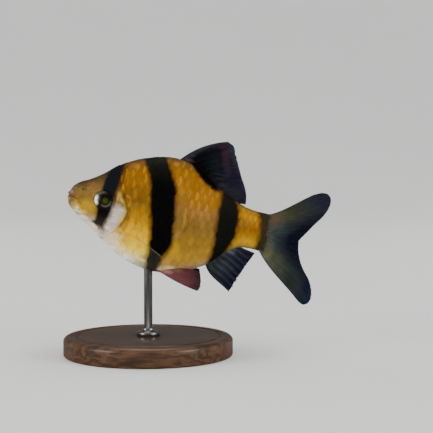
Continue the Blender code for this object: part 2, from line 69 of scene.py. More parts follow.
def smooth(table, column, x):
    rows = np.array(table, float)
    xs, ys = rows[:, 0], rows[:, column]
    x = np.clip(np.asarray(x, float), xs[0], xs[-1])
    slopes = np.gradient(ys, xs)
    i = np.clip(np.searchsorted(xs, x, side="right") - 1, 0, len(xs) - 2)
    span = xs[i + 1] - xs[i]
    t = (x - xs[i]) / span
    rise = (3 - 2 * t) * t * t
    lean = t * (1 - t) ** 2 * slopes[i] - t * t * (1 - t) * slopes[i + 1]
    return ys[i] * (1 - rise) + ys[i + 1] * rise + span * lean


def runLength(line):
    steps = np.linalg.norm(np.diff(line, axis=0), axis=1)
    return np.concatenate([[0.0], np.cumsum(steps)])


def eased(points, perStretch=6):  # points along a smooth curve through a few
    points = np.array(points, float)
    along = runLength(points)
    table = np.column_stack([along, points])
    at = np.linspace(0, along[-1], perStretch * (len(points) - 1) + 1)
    return np.stack([smooth(table, k + 1, at) for k in range(points.shape[1])], axis=1)


def atShare(line, share):  # places at shares of a line's length
    along = runLength(line)
    at = np.asarray(share) * along[-1]
    return np.stack([np.interp(at, along, line[:, k]) for k in range(line.shape[1])], axis=-1)


def swing(x):
    start = fishForm["swingFrom"]
    share = np.clip((np.asarray(x, float) - start) / (fishForm["totalLength"] - start), 0, None)
    return fishForm["tailSwing"] * share**2


def section(x):
    x = np.asarray(x, float)
    back, belly, half, square = (smooth(fishForm["outline"], k, x) for k in (1, 2, 3, 4))
    nose = np.sqrt(1 - (1 - np.clip(x / fishForm["noseRounding"], 0, 1)) ** 2)
    return (back + belly) / 2, (back - belly) / 2 * nose, half * nose, square


def flankWidth(x, z):
    middle, high, half, square = section(x)
    reach = np.clip(np.abs((z - middle) / high), 0, 1)
    return half * (1 - reach**square) ** (1 / square)


def bodyPoint(x, angle):  # angle 0 on the left flank, a quarter turn on the back, half a turn on the right
    middle, high, half, square = section(x)
    past = np.clip(np.asarray(x, float) - fishForm["standardLength"], 0, None)
    half = half * np.exp(-past / fishForm["tailThinning"])
    power = 2 / square
    c, s = np.cos(angle), np.sin(angle)
    y = swing(x) - half * np.sign(c) * np.abs(c) ** power
    return np.stack([x + 0 * y, y, middle + high * np.sign(s) * np.abs(s) ** power], axis=-1)


def toRow(points):
    tilt = math.radians(fishForm["noseUp"])
    x = points[..., 0] - fishForm["heldAt"]
    z = points[..., 2] - smooth(fishForm["outline"], 2, fishForm["heldAt"])
    up = fishForm["bellyHeight"] - x * math.sin(tilt) + z * math.cos(tilt)
    return np.stack([x * math.cos(tilt) + z * math.sin(tilt), points[..., 1], up], axis=-1) * mm


def unit(vectors):
    return vectors / np.maximum(np.linalg.norm(vectors, axis=-1, keepdims=True), 1e-9)


def step(value, low, high):  # 0 below low, 1 above high, smooth between
    t = np.clip((value - low) / (high - low), 0, 1)
    return t * t * (3 - 2 * t)


def bell(distance, width):
    return np.exp(-((distance / width) ** 2))


def mix(ends, share):
    return ends[0] + (ends[1] - ends[0]) * share


def lineSpot(x, z, line):  # distance from a line in side view, over 0 on its tail side, and share along it
    line = np.array(line, float)
    along = runLength(line)
    best = np.full(np.shape(x), 1e9)
    side, share = np.zeros(np.shape(x)), np.zeros(np.shape(x))
    for k in range(len(line) - 1):
        (ax, az), (bx, bz) = line[k], line[k + 1]
        dx, dz = bx - ax, bz - az
        t = np.clip(((x - ax) * dx + (z - az) * dz) / (dx * dx + dz * dz), 0, 1)
        gapX, gapZ = x - ax - t * dx, z - az - t * dz
        distance = np.hypot(gapX, gapZ)
        near = distance < best
        best = np.where(near, distance, best)
        side = np.where(near, np.sign(dx * gapZ - dz * gapX), side)
        share = np.where(near, mix(along[k : k + 2], t) / along[-1], share)
    return best * side, share


def gridFaces(rows, columns, closed):
    index = np.arange(rows * columns).reshape(rows, columns)
    if closed:
        index = np.concatenate([index, index[:, :1]], axis=1)
    return np.stack([index[:-1, :-1], index[1:, :-1], index[1:, 1:], index[:-1, 1:]], -1).reshape(-1, 4)


def tubeFaces(rings, around):  # rings closed at both ends, by two points that come after them
    near = np.arange(around)
    after, last, tip = np.roll(near, -1), (rings - 1) * around, np.full(around, rings * around)
    ends = [np.stack([near, after, tip], -1), np.stack([after + last, near + last, tip + 1], -1)]
    return [gridFaces(rings, around, True), np.concatenate(ends)]


def shellFaces(wide, high):  # two stacked grids joined round their rim into one closed shell
    top = gridFaces(wide, high, False)
    index = np.arange(wide * high).reshape(wide, high)
    rim = np.concatenate([index[:-1, 0], index[-1, :-1], index[:0:-1, -1], index[0, :0:-1]])
    after, under = np.roll(rim, -1), wide * high
    return np.concatenate([top, top[:, ::-1] + under, np.stack([rim, rim + under, after + under, after], -1)])


def filled(points, faces):  # the volume inside, below 0 where the faces look inwards
    volume = 0.0
    for part in faces:
        for k in range(1, part.shape[1] - 1):
            a, b, c = points[part[:, 0]], points[part[:, k]], points[part[:, k + 1]]
            volume += np.einsum("ij,ij->", a, np.cross(b, c)) / 6
    return volume


def newPiece(name, points, faces, material, replaced=(), values=None):
    if filled(points - points.mean(axis=0), faces) < 0:
        faces = [part[:, ::-1] for part in faces]
    mesh = bpy.data.meshes.new(name)
    mesh.from_pydata(points.tolist(), [], [face.tolist() for part in faces for face in part])
    for label, data in (values or {}).items():
        layer = mesh.attributes.new(label, "FLOAT", "POINT")
        layer.data.foreach_set("value", np.asarray(data, np.float32).ravel())
    mesh.materials.append(material)
    mesh.shade_smooth()
    piece = bpy.data.objects.new(name, mesh)
    scene.collection.objects.link(piece)
    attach(piece, "root")
    if replaced:
        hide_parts(*replaced)
    return piece


screenTone = {  # how the standard view turns brightness into a tone from 0 to 255
    "middle": 0.198,
    "steepness": 1.172,
    "white": 246.4,
    "brightest": 217,  # that white paint reaches
    "studio": 2.0,  # brightness of a white matt surface on the fish's side
}


def paint(shown):  # the paint that shows as this colour under the studio's lamps
    shown = np.minimum(shown, screenTone["brightest"])
    light = screenTone["middle"] * (shown / (screenTone["white"] - shown)) ** screenTone["steepness"]
    warm = 0.29 * light[0] ** 0.6 * max(light[0] - light[1], 0)  # the view mixes bright warm colours a little
    light = np.maximum(light + (-warm, 0.3 * warm, -0.1 * max(light[0] - 0.55, 0)), 0.0002)
    return (*(float(min(v / screenTone["studio"], 0.92)) for v in light), 1.0)


def feed(tree, value, socket):
    if isinstance(value, Field):
        tree.links.new(value.socket, socket)
    else:
        socket.default_value = value


def made(tree, kind, inputs=(), output=0, **settings):  # what a new node puts out
    node = tree.nodes.new("ShaderNode" + kind)
    for name, value in settings.items():
        setattr(node, name, value)
    for key, value in dict(inputs).items():
        feed(tree, value, node.inputs[key])
    return Field(tree, node.outputs[output])


def tinted(colour):  # colours in the dictionaries are as shown, from 0 to 255
    return paint(colour) if isinstance(colour, tuple) and len(colour) == 3 else colour


class Field:  # a number, place or colour that changes over a surface, in a shader's nodes
    def __init__(self, tree, socket):
        self.tree, self.socket = tree, socket

    def maths(self, operation, *others):
        return made(self.tree, "Math", enumerate((self, *others)), operation=operation)

    def __add__(self, other):
        return self.maths("ADD", other)

    def __sub__(self, other):
        return self.maths("SUBTRACT", other)

    def __mul__(self, other):
        return self.maths("MULTIPLY", other)

    def __pow__(self, power):
        return self.maths("POWER", power)

    def __abs__(self):
        return self.maths("ABSOLUTE")

    def opposite(self):
        return self * -1 + 1

    def spread(self, low, high, first=0.0, last=1.0, **settings):  # first at low, last at high
        return made(self.tree, "MapRange", enumerate((self, low, high, first, last)), **settings)

    def fade(self, low, high, first=0.0, last=1.0):  # the same, eased at both ends
        return self.spread(low, high, first, last, interpolation_type="SMOOTHSTEP")

    def curve(self, points, low, high, size):  # a curve drawn through given points of (value, result)
        drawn = made(self.tree, "FloatCurve", {1: self.spread(low, high)})
        mapping = drawn.socket.node.mapping
        mapping.extend = "HORIZONTAL"
        knots = mapping.curves[0].points
        spots = sorted(((at - low) / (high - low), result / size + 0.5) for at, result in points)
        knots[0].location, knots[-1].location = spots[0], spots[-1]
        for spot in spots[1:-1]:
            knots.new(*spot)
        mapping.update()
        return (drawn - 0.5) * size

    def stops(self, colours):
        ramp = made(self.tree, "ValToRGB", {0: self})
        elements = ramp.socket.node.color_ramp.elements
        while len(elements) < len(colours):
            elements.new(0.5)
        for element, (at, colour) in zip(elements, colours):
            element.position, element.color = at, paint(colour)
        return ramp

    def blend(self, first, second):  # the first colour where this is 0, the second where it is 1
        return made(self.tree, "Mix", {0: self, 6: tinted(first), 7: tinted(second)}, 2, data_type="RGBA")

    def shade(self, colour):  # a colour times this
        colour = tinted(colour)[:3] if isinstance(colour, tuple) else colour
        return made(self.tree, "VectorMath", {0: colour, "Scale": self}, operation="SCALE")

    def vector(self, operation, other=(0, 0, 0), output=0):
        return made(self.tree, "VectorMath", {0: self, 1: other}, output, operation=operation)

    def length(self):
        return self.vector("LENGTH", output="Value")

    def axis(self, number):
        return made(self.tree, "SeparateXYZ", {0: self}, number)

    def noise(self, scale, detail=2.0, roughness=0.5):
        inputs = {"Vector": self, "Scale": scale, "Detail": detail, "Roughness": roughness}
        return made(self.tree, "TexNoise", inputs)

    def stretched(self, scale, turn=(0, 0, 0)):
        turn = [math.radians(degrees) for degrees in turn]
        return made(self.tree, "Mapping", {"Vector": self, "Rotation": turn, "Scale": scale})


def newGroup(name, inputs, outputs):
    tree = bpy.data.node_groups.new(name, "ShaderNodeTree")
    for sockets, way in ((inputs, "INPUT"), (outputs, "OUTPUT")):
        for label, kind in sockets.items():
            tree.interface.new_socket(label, in_out=way, socket_type="NodeSocket" + kind)
    given = tree.nodes.new("NodeGroupInput").outputs
    return tree, [Field(tree, given[label]) for label in inputs], tree.nodes.new("NodeGroupOutput").inputs


def feedAll(tree, values, sockets):
    for label, value in values.items():
        feed(tree, value, sockets[label])


def placeGroup(tree, group, inputs):
    node = tree.nodes.new("ShaderNodeGroup")
    node.node_tree = group
    feedAll(tree, inputs, node.inputs)
    return [Field(tree, socket) for socket in node.outputs]


def newMaterial(name):
    material = bpy.data.materials.new(name)
    material.use_nodes = True
    return material, material.node_tree


def endMaterial(material, inputs, height, distance, strength=1.0):  # the shader's inputs, and a fine relief
    tree = material.node_tree
    relief = made(tree, "Bump", {"Height": height, "Distance": distance * mm, "Strength": strength})
    feedAll(tree, {**inputs, "Normal": relief}, tree.nodes["Principled BSDF"].inputs)
    return material


def attributes(tree, *labels):
    return [made(tree, "Attribute", (), "Fac", attribute_name=label) for label in labels]


# Markings, with some painted highlights and shadows among them, in side view: each dark bar's front and rear
# edge as (height, place behind the snout)
markings = {
    "bars": (
        {"front": ((-5.3, 10.0), (-4.7, 8.75), (-4.1, 8.15), (-3.2, 8.4), (-2.3, 8.5), (-0.8, 8.4),
                   (5.2, 8.5), (7.3, 8.65), (9.6, 9.2)),
         "rear": ((-5.3, 10.8), (-4.2, 10.95), (-3.4, 11.1), (-1.5, 11.75), (0.6, 12.05), (3.5, 12.05),
                  (6.8, 12.6), (9.0, 12.75), (12.0, 12.65)),
         "foot": -5.2},
        {"front": ((-12.5, 23.7), (-7.0, 23.6), (0.0, 22.4), (5.2, 21.3), (10.4, 20.0), (13.0, 18.5),
                   (14.8, 17.0)),
         "rear": ((-12.5, 26.3), (-8.6, 27.6), (-4.7, 28.9), (0.0, 28.4), (3.0, 27.95), (6.0, 27.65),
                  (8.6, 26.95), (12.5, 24.9), (14.8, 23.4), (16.3, 22.9))},
        {"front": ((-7.8, 39.1), (-5.2, 39.5), (-2.6, 39.6), (2.6, 39.1), (6.5, 38.9), (10.7, 38.9)),
         "rear": ((-6.8, 41.6), (-3.4, 43.1), (-1.3, 43.9), (3.9, 44.4), (6.5, 44.1), (8.6, 43.05),
                  (9.9, 41.8))},
        {"front": ((-2.2, 50.1), (0.0, 50.55), (2.6, 50.65), (5.2, 50.15), (7.8, 49.1)),
         "rear": ((-2.2, 52.4), (0.0, 52.9), (2.6, 52.9), (5.2, 52.5), (7.8, 52.1))},
    ),
    "foot": -20.0,  # height of a bar's lower end where it has none of its own
    "saddle": ((28.0, 18.0), (29.2, 16.4), (30.3, 15.1), (32.1, 13.35), (34.7, 11.4), (36.9, 10.6),
               (39.0, 10.1)),
    "coverRear": ((-7.0, 11.4), (-4.7, 13.7), (-2.6, 15.15), (0.0, 15.95), (2.1, 15.35), (4.7, 13.5),
                  (6.5, 12.6)),
    # a thin dark arc on the middle of the flank, in side view
    "darkArc": ((-2.4, 30.6), (-0.8, 31.4), (0.5, 31.85), (1.6, 31.85), (2.7, 31.45), (3.6, 30.9)),
    "edge": 1.1,  # over which a bar's edge fades
    "ragged": 0.7,
    "black": (6, 7, 6),
    # the black greyed along the top of the back: a painted highlight
    "backHighlightBlack": (25, 24, 18),
    "barTop": (17, 21, 25),  # of the bar through the eye
    "barFoot": (58, 42, 40),
    "rearBlack": (15, 16, 11),
    "olive": (54, 44, 22),
    "rust": (98, 48, 12),
    "cover": (194, 187, 184),
    "coverTop": (160, 128, 68),
    "coverRim": (188, 176, 114),
    # painted shadow just behind the gill cover's rear edge
    "coverShadow": (126, 84, 28),
    "throat": (206, 196, 186),
    "lips": (117, 102, 91),
    "ember": (176, 98, 8),
    "olives": (148, 122, 44),
    "fleck": (196, 176, 124),
    "tailRoot": (90, 86, 66),
    "darkArcTone": (132, 88, 24),
    "head": ((0.0, (190, 184, 176)), (0.06, (208, 202, 196)), (0.13, (210, 202, 192)), (0.2, (200, 172, 116)),
             (0.3, (192, 158, 72)), (0.44, (184, 146, 62)), (0.62, (159, 121, 54)), (0.78, (138, 102, 50)),
             (0.9, (104, 76, 38)), (1.0, (74, 54, 32))),
    "shoulder": ((0.0, (204, 198, 190)), (0.08, (217, 204, 186)), (0.15, (224, 192, 116)),
                 (0.24, (224, 174, 42)), (0.4, (192, 142, 34)), (0.58, (144, 98, 22)), (0.86, (166, 108, 14)),
                 (1.0, (112, 78, 38))),
    # the flank's lowest stops are the belly's own pale colour, painted lighter to make up for the shade under
    # the belly
    "flank": ((0.0, (168, 144, 124)), (0.05, (178, 150, 106)), (0.12, (184, 146, 58)), (0.3, (166, 126, 30)),
              (0.48, (150, 110, 42)), (0.62, (160, 112, 42)), (0.76, (172, 114, 16)), (0.93, (164, 108, 18)),
              (1.0, (112, 80, 36))),
    "stalk": ((0.0, (130, 112, 62)), (0.08, (182, 150, 58)), (0.2, (197, 150, 16)), (0.36, (176, 124, 16)),
              (0.5, (160, 100, 14)), (0.66, (172, 112, 12)), (0.82, (190, 134, 3)), (0.93, (170, 126, 34)),
              (1.0, (110, 88, 40))),
    "touches": (  # small spots laid one by one: place in side view, half sizes, colour, strength
        (0.85, 2.2, 0.5, 0.4, (164, 148, 126), 0.75), (0.45, 0.2, 0.5, 0.55, (158, 150, 132), 0.8),
        (1.6, 1.2, 0.6, 0.4, (102, 96, 66), 0.6), (1.4, 1.95, 0.6, 0.16, (176, 98, 70), 0.6),
        (2.75, 1.05, 0.2, 0.6, (182, 104, 74), 0.6), (2.7, 0.1, 0.5, 0.5, (186, 156, 104), 0.6),
        (2.15, -0.6, 0.9, 0.5, (188, 166, 98), 0.6), (3.0, -1.0, 0.9, 0.5, (204, 186, 132), 0.65),
        (3.2, -1.5, 0.7, 0.4, (222, 206, 172), 0.6), (4.9, -2.1, 1.2, 0.6, (206, 188, 142), 0.6),
        # painted shade in the front nostril's hollow: the dark touch at 3.8, 3.45; painted highlight beside
        # the nostrils: the pink touch at 4.8, 4.05 on the next line
        (7.7, -3.3, 0.5, 0.5, (170, 160, 154), 0.6), (3.8, 3.45, 0.45, 0.25, (112, 60, 28), 0.6),
        (4.8, 4.05, 0.5, 0.3, (180, 130, 88), 0.6), (5.9, -0.4, 1.9, 1.8, (198, 162, 66), 0.6),
        (3.3, -2.3, 1.2, 0.4, (212, 206, 202), 0.6), (5.2, -3.5, 1.5, 0.45, (212, 206, 204), 0.7),
        (7.6, -4.6, 1.3, 0.5, (206, 198, 196), 0.6), (6.0, 5.2, 1.8, 0.5, (164, 110, 38), 0.5),
        (8.2, -4.0, 0.85, 0.42, (58, 40, 54), 0.75), (12.1, 3.2, 0.5, 1.0, (70, 52, 22), 0.6),
        (13.1, 3.8, 0.35, 1.1, (190, 166, 92), 0.8), (13.8, 3.2, 0.3, 0.7, (186, 158, 82), 0.45),
        (13.7, 4.2, 0.4, 0.5, (190, 152, 82), 0.6), (13.0, 4.6, 0.6, 0.6, (184, 156, 84), 0.65),
        (14.4, 4.2, 0.5, 0.8, (106, 72, 10), 0.65), (15.6, 4.35, 0.5, 0.4, (182, 136, 58), 0.7),
        (16.35, 2.5, 0.35, 0.7, (180, 136, 50), 0.55), (15.4, 1.5, 0.4, 0.6, (160, 146, 26), 0.7),
        # painted shadow: the dark brown touch at 16.7, 1.2, like those at 16.75, 16.6 and 17.1 below, lies
        # just behind the gill slit
        (16.7, 1.2, 0.4, 0.7, (122, 64, 12), 0.6), (10.2, -5.9, 0.9, 0.4, (208, 206, 210), 0.6),
        (13.1, 8.0, 0.45, 1.9, (94, 50, 12), 0.75), (13.4, 10.6, 0.5, 1.3, (104, 58, 12), 0.75),
        (14.7, 2.1, 0.6, 0.8, (142, 102, 32), 0.7), (14.9, -4.9, 0.7, 0.6, (158, 122, 84), 0.5),
        (15.4, -3.2, 0.45, 0.7, (144, 122, 96), 0.6), (16.2, -3.9, 0.8, 0.8, (164, 110, 40), 0.65),
        (13.1, 1.0, 0.5, 0.6, (176, 156, 150), 0.7), (14.7, -1.0, 0.4, 1.6, (196, 182, 120), 0.6),
        (12.3, -1.8, 0.5, 0.8, (172, 162, 160), 0.5), (12.0, -4.6, 0.8, 0.35, (210, 204, 204), 0.6),
        # painted shadow behind the gill slit: the touches at 16.75, -1.3 and 16.6, -2.8, and at 17.1, 0.2
        # after them
        (11.2, -3.4, 0.35, 0.6, (158, 142, 138), 0.5), (16.75, -1.3, 0.4, 0.9, (136, 86, 20), 0.65),
        (16.6, -2.8, 0.5, 0.8, (140, 98, 34), 0.6), (15.9, -5.2, 0.6, 0.5, (164, 114, 56), 0.5),
        (17.1, 0.2, 0.5, 1.0, (134, 84, 10), 0.5), (18.9, -1.0, 0.35, 1.3, (160, 112, 18), 0.5),
        (15.8, 12.4, 1.0, 0.7, (186, 134, 58), 0.6), (25.7, 15.1, 0.8, 0.6, (188, 134, 66), 0.6),
        (28.2, 16.0, 0.9, 0.4, (142, 114, 80), 0.6), (14.3, 7.5, 0.7, 0.9, (148, 80, 6), 0.6),
        (15.5, 5.9, 0.9, 0.9, (146, 82, 10), 0.5), (18.6, 4.6, 0.7, 0.9, (140, 86, 26), 0.6),
        (18.2, 8.6, 0.8, 1.1, (172, 104, 8), 0.5), (16.8, -7.0, 0.8, 0.5, (212, 160, 104), 0.5),
        (17.6, -5.1, 1.1, 0.8, (214, 138, 26), 0.6), (19.6, -6.2, 1.0, 0.8, (234, 180, 40), 0.6),
        (19.4, -7.8, 0.8, 0.6, (238, 198, 108), 0.6), (14.3, -9.6, 1.5, 0.6, (224, 216, 214), 0.55),
        # the white touch at 17.9, -11.2 is the belly's own white, brightened along its lower edge as a
        # painted highlight
        (17.9, -11.2, 1.7, 0.6, (232, 228, 230), 0.8), (20.6, -12.1, 1.3, 0.5, (208, 203, 200), 0.6),
        (22.3, -11.8, 1.4, 0.8, (176, 166, 148), 0.7), (22.4, -10.2, 0.9, 0.6, (180, 146, 82), 0.55),
        (23.1, -9.8, 0.5, 0.9, (132, 108, 74), 0.5), (27.2, -12.2, 0.7, 0.7, (196, 190, 186), 0.6),
        # the pale touch at 30.1, -11.6 is the belly's own pale colour, painted lighter to make up for the
        # shade under the belly
        (29.2, -12.6, 1.5, 0.5, (216, 208, 204), 0.75), (30.1, -11.6, 1.8, 0.9, (206, 194, 168), 0.85),
        (30.1, -6.4, 1.3, 2.3, (204, 160, 66), 0.5), (28.9, -9.8, 0.9, 1.0, (196, 160, 104), 0.55),
        (29.5, -2.4, 0.9, 1.2, (174, 138, 78), 0.5), (27.7, 4.4, 0.28, 1.2, (168, 116, 100), 0.6),
        (30.9, 1.6, 0.45, 1.7, (182, 144, 66), 0.6), (34.0, 4.5, 0.9, 0.9, (182, 124, 74), 0.5),
        (35.8, 4.9, 0.8, 1.1, (182, 122, 82), 0.5), (37.9, 4.4, 0.5, 1.2, (150, 114, 90), 0.6),
    ),
}


def buildPlaceGroup():
    tree, (coordinate,), put = newGroup("fishPlace", {"Coordinate": "Vector"}, {"Place": "Vector"})
    lifted = coordinate.vector("ADD", (0, 0, -fishForm["bellyHeight"] * mm)).vector("MULTIPLY", [1 / mm] * 3)
    angle = -math.radians(fishForm["noseUp"])
    level = made(tree, "VectorRotate", {"Vector": lifted, "Angle": angle}, rotation_type="Y_AXIS")
    held = (fishForm["heldAt"], 0, float(smooth(fishForm["outline"], 2, fishForm["heldAt"])))
    feedAll(tree, {"Place": level.vector("ADD", held)}, put)
    return tree


def laid(colour, *layers):  # colours laid one over another, each where its mask is 1
    for mask, over in layers:
        colour = mask.blend(colour, over)
    return colour


def layTouches(place, wobble, touches, colour):  # soft-edged spots of paint
    for x, z, wide, high, tint, strength in touches:
        away = place.vector("SUBTRACT", (x, 0, z)).vector("MULTIPLY", (1 / wide, 0, 1 / high)).length()
        colour = (away + wobble).fade(1.5, 0.3, 0.0, strength).blend(colour, tint)
    return colour


# the markings group: the fish's colours, with painted highlights and shadows laid in
def buildMarkingsGroup():
    outputs = {"Color": "Color", "Bars": "Float", "Gleam": "Float"}
    tree, (place, shift), put = newGroup("barbMarkingsAndPaintedLight", {"Place": "Vector", "Shift": "Float"}, outputs)
    x, z = place.axis(0), place.axis(2)
    rough = place.noise(0.9, 4.0, 0.7) - 0.5
    wander = rough * markings["ragged"] + shift
    edgeX = x + wander

    def behindSnout(line):
        return z.curve(line, -16.0, 20.0, 120.0)

    def heightOf(line):
        return x.curve(line, -2.0, 60.0, 60.0)

    back, belly = (heightOf([(row[0], row[k]) for row in fishForm["outline"]]) for k in (1, 2))
    share = z.spread(belly, back)
    cloud = place.noise(0.42)
    colour = laid(
        share.stops(markings["head"]),
        (x.fade(11.4, 12.6), share.stops(markings["shoulder"])),
        (x.fade(22.5, 26.0), share.stops(markings["flank"])),
        (x.fade(40.5, 43.5), share.stops(markings["stalk"])),
        (x.fade(2.2, 0.6), markings["lips"]),
        (x.fade(17.5, 14.5) * x.fade(4.6, 8.0) * share.fade(0.3, 0.15) * 0.85, markings["throat"]),
        (cloud.fade(0.5, 0.72) * x.fade(13.0, 17.0) * share.fade(0.3, 0.6) * 0.35, markings["ember"]),
        (cloud.fade(0.5, 0.3) * share.fade(0.1, 0.3) * share.fade(0.95, 0.6) * 0.5, markings["olives"]),
        (place.noise(2.6, 2.0, 0.6).fade(0.58, 0.74) * x.fade(13.0, 10.0) * 0.4, markings["fleck"]),
    )

    beforeSlit = behindSnout(markings["coverRear"]) - x + rough * 0.7
    # painted shadow in a band just behind the gill cover's rear edge
    behind = beforeSlit.fade(-1.5, -0.4) * z.fade(-5.0, -3.0) * z.fade(3.4, 1.4) * 0.65
    threads = place.stretched((0.35, 1.0, 3.4), (0, -58, 0)).noise(1.0, 4.0, 0.65)
    plate = z.fade(0.2, 2.6).blend(markings["cover"], markings["coverTop"])
    plate = threads.spread(0.25, 0.75, 0.6, 1.2).shade(plate)
    rim = beforeSlit.fade(1.1, 0.5) * z.fade(-4.4, -2.8) * threads.fade(0.12, 0.46) * 0.85
    cover = beforeSlit.fade(-0.25, 0.35) * x.fade(9.8, 10.8) * z.fade(5.0, 2.8)
    colour = laid(colour, (behind, markings["coverShadow"]), (cover, rim.blend(plate, markings["coverRim"])))

    colour = layTouches(place, rough * 1.6, markings["touches"], colour)
    darkArc = abs(behindSnout(markings["darkArc"]) - x).fade(0.5, 0.05) * z.fade(-2.6, -0.6) * z.fade(3.8, 3.0)
    colour = (darkArc * 0.8).blend(colour, markings["darkArcTone"])
    colour = place.noise(0.55, 4.0, 0.65).spread(0.25, 0.75, 0.8, 1.18).shade(colour)

    inBar = None
    for bar in markings["bars"]:
        inside = (edgeX - behindSnout(bar["front"])).maths("MINIMUM", behindSnout(bar["rear"]) - edgeX)
        above = z - bar.get("foot", markings["foot"]) + wander * 1.6
        inside = inside.maths("MINIMUM", above * 0.6)
        inBar = inside if inBar is None else inBar.maths("MAXIMUM", inside)
    above = z + wander - heightOf(markings["saddle"])
    saddle = above.fade(-0.5, 0.6) * x.fade(28.6, 30.0) * x.fade(39.5, 36.8)
    dark = inBar.fade(-markings["edge"] / 2, markings["edge"] / 2).maths("MAXIMUM", saddle)
    halo = inBar.fade(-1.1, -0.2) * x.fade(52.4, 51.6) * x.fade(8.4, 10.0) * 0.55
    root = (abs(z - 2.85) * 0.1 + x).fade(51.9, 52.8)
    colour = laid(colour, (root, markings["tailRoot"]), (halo, markings["rust"]))
    throughEye = x.fade(16.0, 14.0)
    black = laid(
        x.fade(36.0, 39.0).blend(markings["black"], markings["rearBlack"]),
        # painted highlight: the black greyer along the top of the back, around the dorsal fin's root
        (share.fade(0.72, 1.0) * abs(x - 33.0).fade(3.0, 5.5), markings["backHighlightBlack"]),
        (throughEye * z.fade(-1.5, 1.0), markings["barTop"]),
        (throughEye * z.fade(-0.8, -5.4), markings["barFoot"]),
        (x.fade(49.0, 49.6), markings["olive"]),
    )
    # painted highlight: where the scales' glints show, most on the upper flank and broken up by noise
    lit = share.fade(0.52, 0.76) * share.fade(1.0, 0.9) * 0.75 + 0.25
    gleam = lit * place.noise(0.3).fade(0.25, 0.65)
    feedAll(tree, {"Color": dark.blend(colour, black), "Bars": dark, "Gleam": gleam}, put)
    return tree


fishPlace = buildPlaceGroup()
barbMarkingsAndPaintedLight = buildMarkingsGroup()
print("markings drawn")


def ownCoordinate(tree):
    return made(tree, "TexCoord", (), "Object")


def fishCoordinates(tree):
    return placeGroup(tree, fishPlace, {"Coordinate": ownCoordinate(tree)})[0]


# Skin: the body's form with the head's bones, mouth, nostrils, eye sockets and gill slits worked into it
skinForm = {
    "underScales": 0.14,  # depth of the skin below the solids where scales lie on it
    "rings": (26, 140, 90),  # round the nose, over the head and behind it
    "around": 344,
    "headEnd": 16.5,
    "mouth": ((-2.0, 1.25), (0.3, 1.15), (1.6, 0.95), (2.9, 0.55)),
    "mouthDepth": 0.42,
    "cleft": (0.32, 0, 1.17),  # the bottom of the mouth's cleft, at the snout
    "lips": ((0.62, 0.2, 0.36), (-0.42, 0.08, 0.3)),  # height above the mouth's line, swelling and width
    "folds": (  # depth, width and line: upper jaw's bone, chin, back of the jaw, gill cover's seam
        (0.13, 0.1, ((-0.6, 2.75), (0.5, 2.6), (1.25, 2.25), (2.1, 1.65), (2.75, 0.9), (3.05, 0.3))),
        (0.09, 0.1, ((-0.6, -0.15), (1.2, -0.35), (2.3, -0.45), (3.0, -0.25))),
        (0.1, 0.13, ((2.9, 0.55), (4.3, -0.9), (5.6, -3.2), (6.4, -6.0), (6.6, -9.0))),
        (0.05, 0.1, ((11.6, -3.2), (13.0, -3.4), (14.2, -3.0), (15.2, -2.2))),
    ),
    "gillEdge": ((10.6, 17.0), (11.7, 10.0), (13.6, 6.2), (15.45, 2.6), (16.15, -0.4),
                 (15.3, -3.4), (12.95, -6.2), (10.6, -8.4), (8.6, -12.0)),
    "coverFront": ((12.9, 5.6), (12.6, 3.6), (12.5, 0.8), (12.0, -1.6), (11.0, -4.3), (9.4, -6.6),
                   (7.0, -9.4)),
    "coverProud": 0.2,
    "coverTop": 5.9,
    "nostrils": ((3.75, 3.5, 0.36), (4.4, 3.85, 0.28)),
    "eyePlace": (9.45, 2.0),
    "eyeRadius": 2.45,
    "pores": (11, 3.75),  # of the sensory canal round the eye, and how far from its middle
    "finish": {"Coat Weight": 0.03, "Coat Roughness": 0.2, "Specular IOR Level": 0.045},  # the scales' too
}


def headRelief(x, z):
    form = skinForm
    mouth = eased(form["mouth"], 4)
    away, share = lineSpot(x, z, mouth)
    opening = 1 - 0.45 * step(share, 0.5, 1.0)
    lift = -form["mouthDepth"] * opening * bell(away, 0.085) - 0.08 * bell(away, 0.3)
    for rise, swell, width in form["lips"]:
        away, share = lineSpot(x, z, mouth + (0, rise))
        lift += swell * bell(away, width) * (1 - 0.6 * step(share, 0.45, 1.0))
    for depth, width, line in form["folds"]:
        lift -= depth * bell(lineSpot(x, z, eased(line, 4))[0], width)
    for nx, nz, radius in form["nostrils"]:
        r = np.hypot(x - nx, z - nz)
        lift += 0.1 * bell(r - radius * 1.15, 0.13) - 0.3 * bell(r, radius * 0.55)

    ex, ez = form["eyePlace"]
    r = np.hypot(x - ex, z - ez) - form["eyeRadius"]
    lift += 0.14 * bell(r - 0.24, 0.2) - 0.05 * bell(r - 0.75, 0.2) - 1.1 * step(r, 0.03, -0.3)
    pores, radius = form["pores"]
    for turn in np.radians(np.linspace(150, 360, pores)):
        px, pz = ex + radius * math.cos(turn), ez + radius * math.sin(turn)
        lift -= 0.07 * bell(np.hypot(x - px, z - pz), 0.13)

    behindFront = lineSpot(x, z, eased(form["coverFront"], 4))[0]
    beforeSlit = -lineSpot(x, z, eased(form["gillEdge"]))[0]
    cover = step(behindFront, -0.1, 0.55) * step(beforeSlit, 0.02, 0.2)
    cover = cover * step(z, form["coverTop"], form["coverTop"] - 0.6)
    lift += form["coverProud"] * cover * (0.3 + 0.7 * step(z, -6.0, -2.5))
    fold = 0.05 * bell(behindFront + 0.75, 0.3) - 0.09 * bell(behindFront, 0.12)
    lift += fold * step(beforeSlit, 0.1, 0.4)
    lift += 0.04 * bell(beforeSlit - 0.3, 0.16) * cover  # the stiff rim of the gill cover
    slit = bell(beforeSlit, 0.14) * step(z, 7.0, 5.5) * (0.2 + 0.8 * step(z, -5.0, -2.0))
    lift = lift * step(x, form["headEnd"] + 1.0, form["headEnd"]) - 0.3 * slit
    return lift - form["underScales"] * step(beforeSlit, 0.02, -0.16)


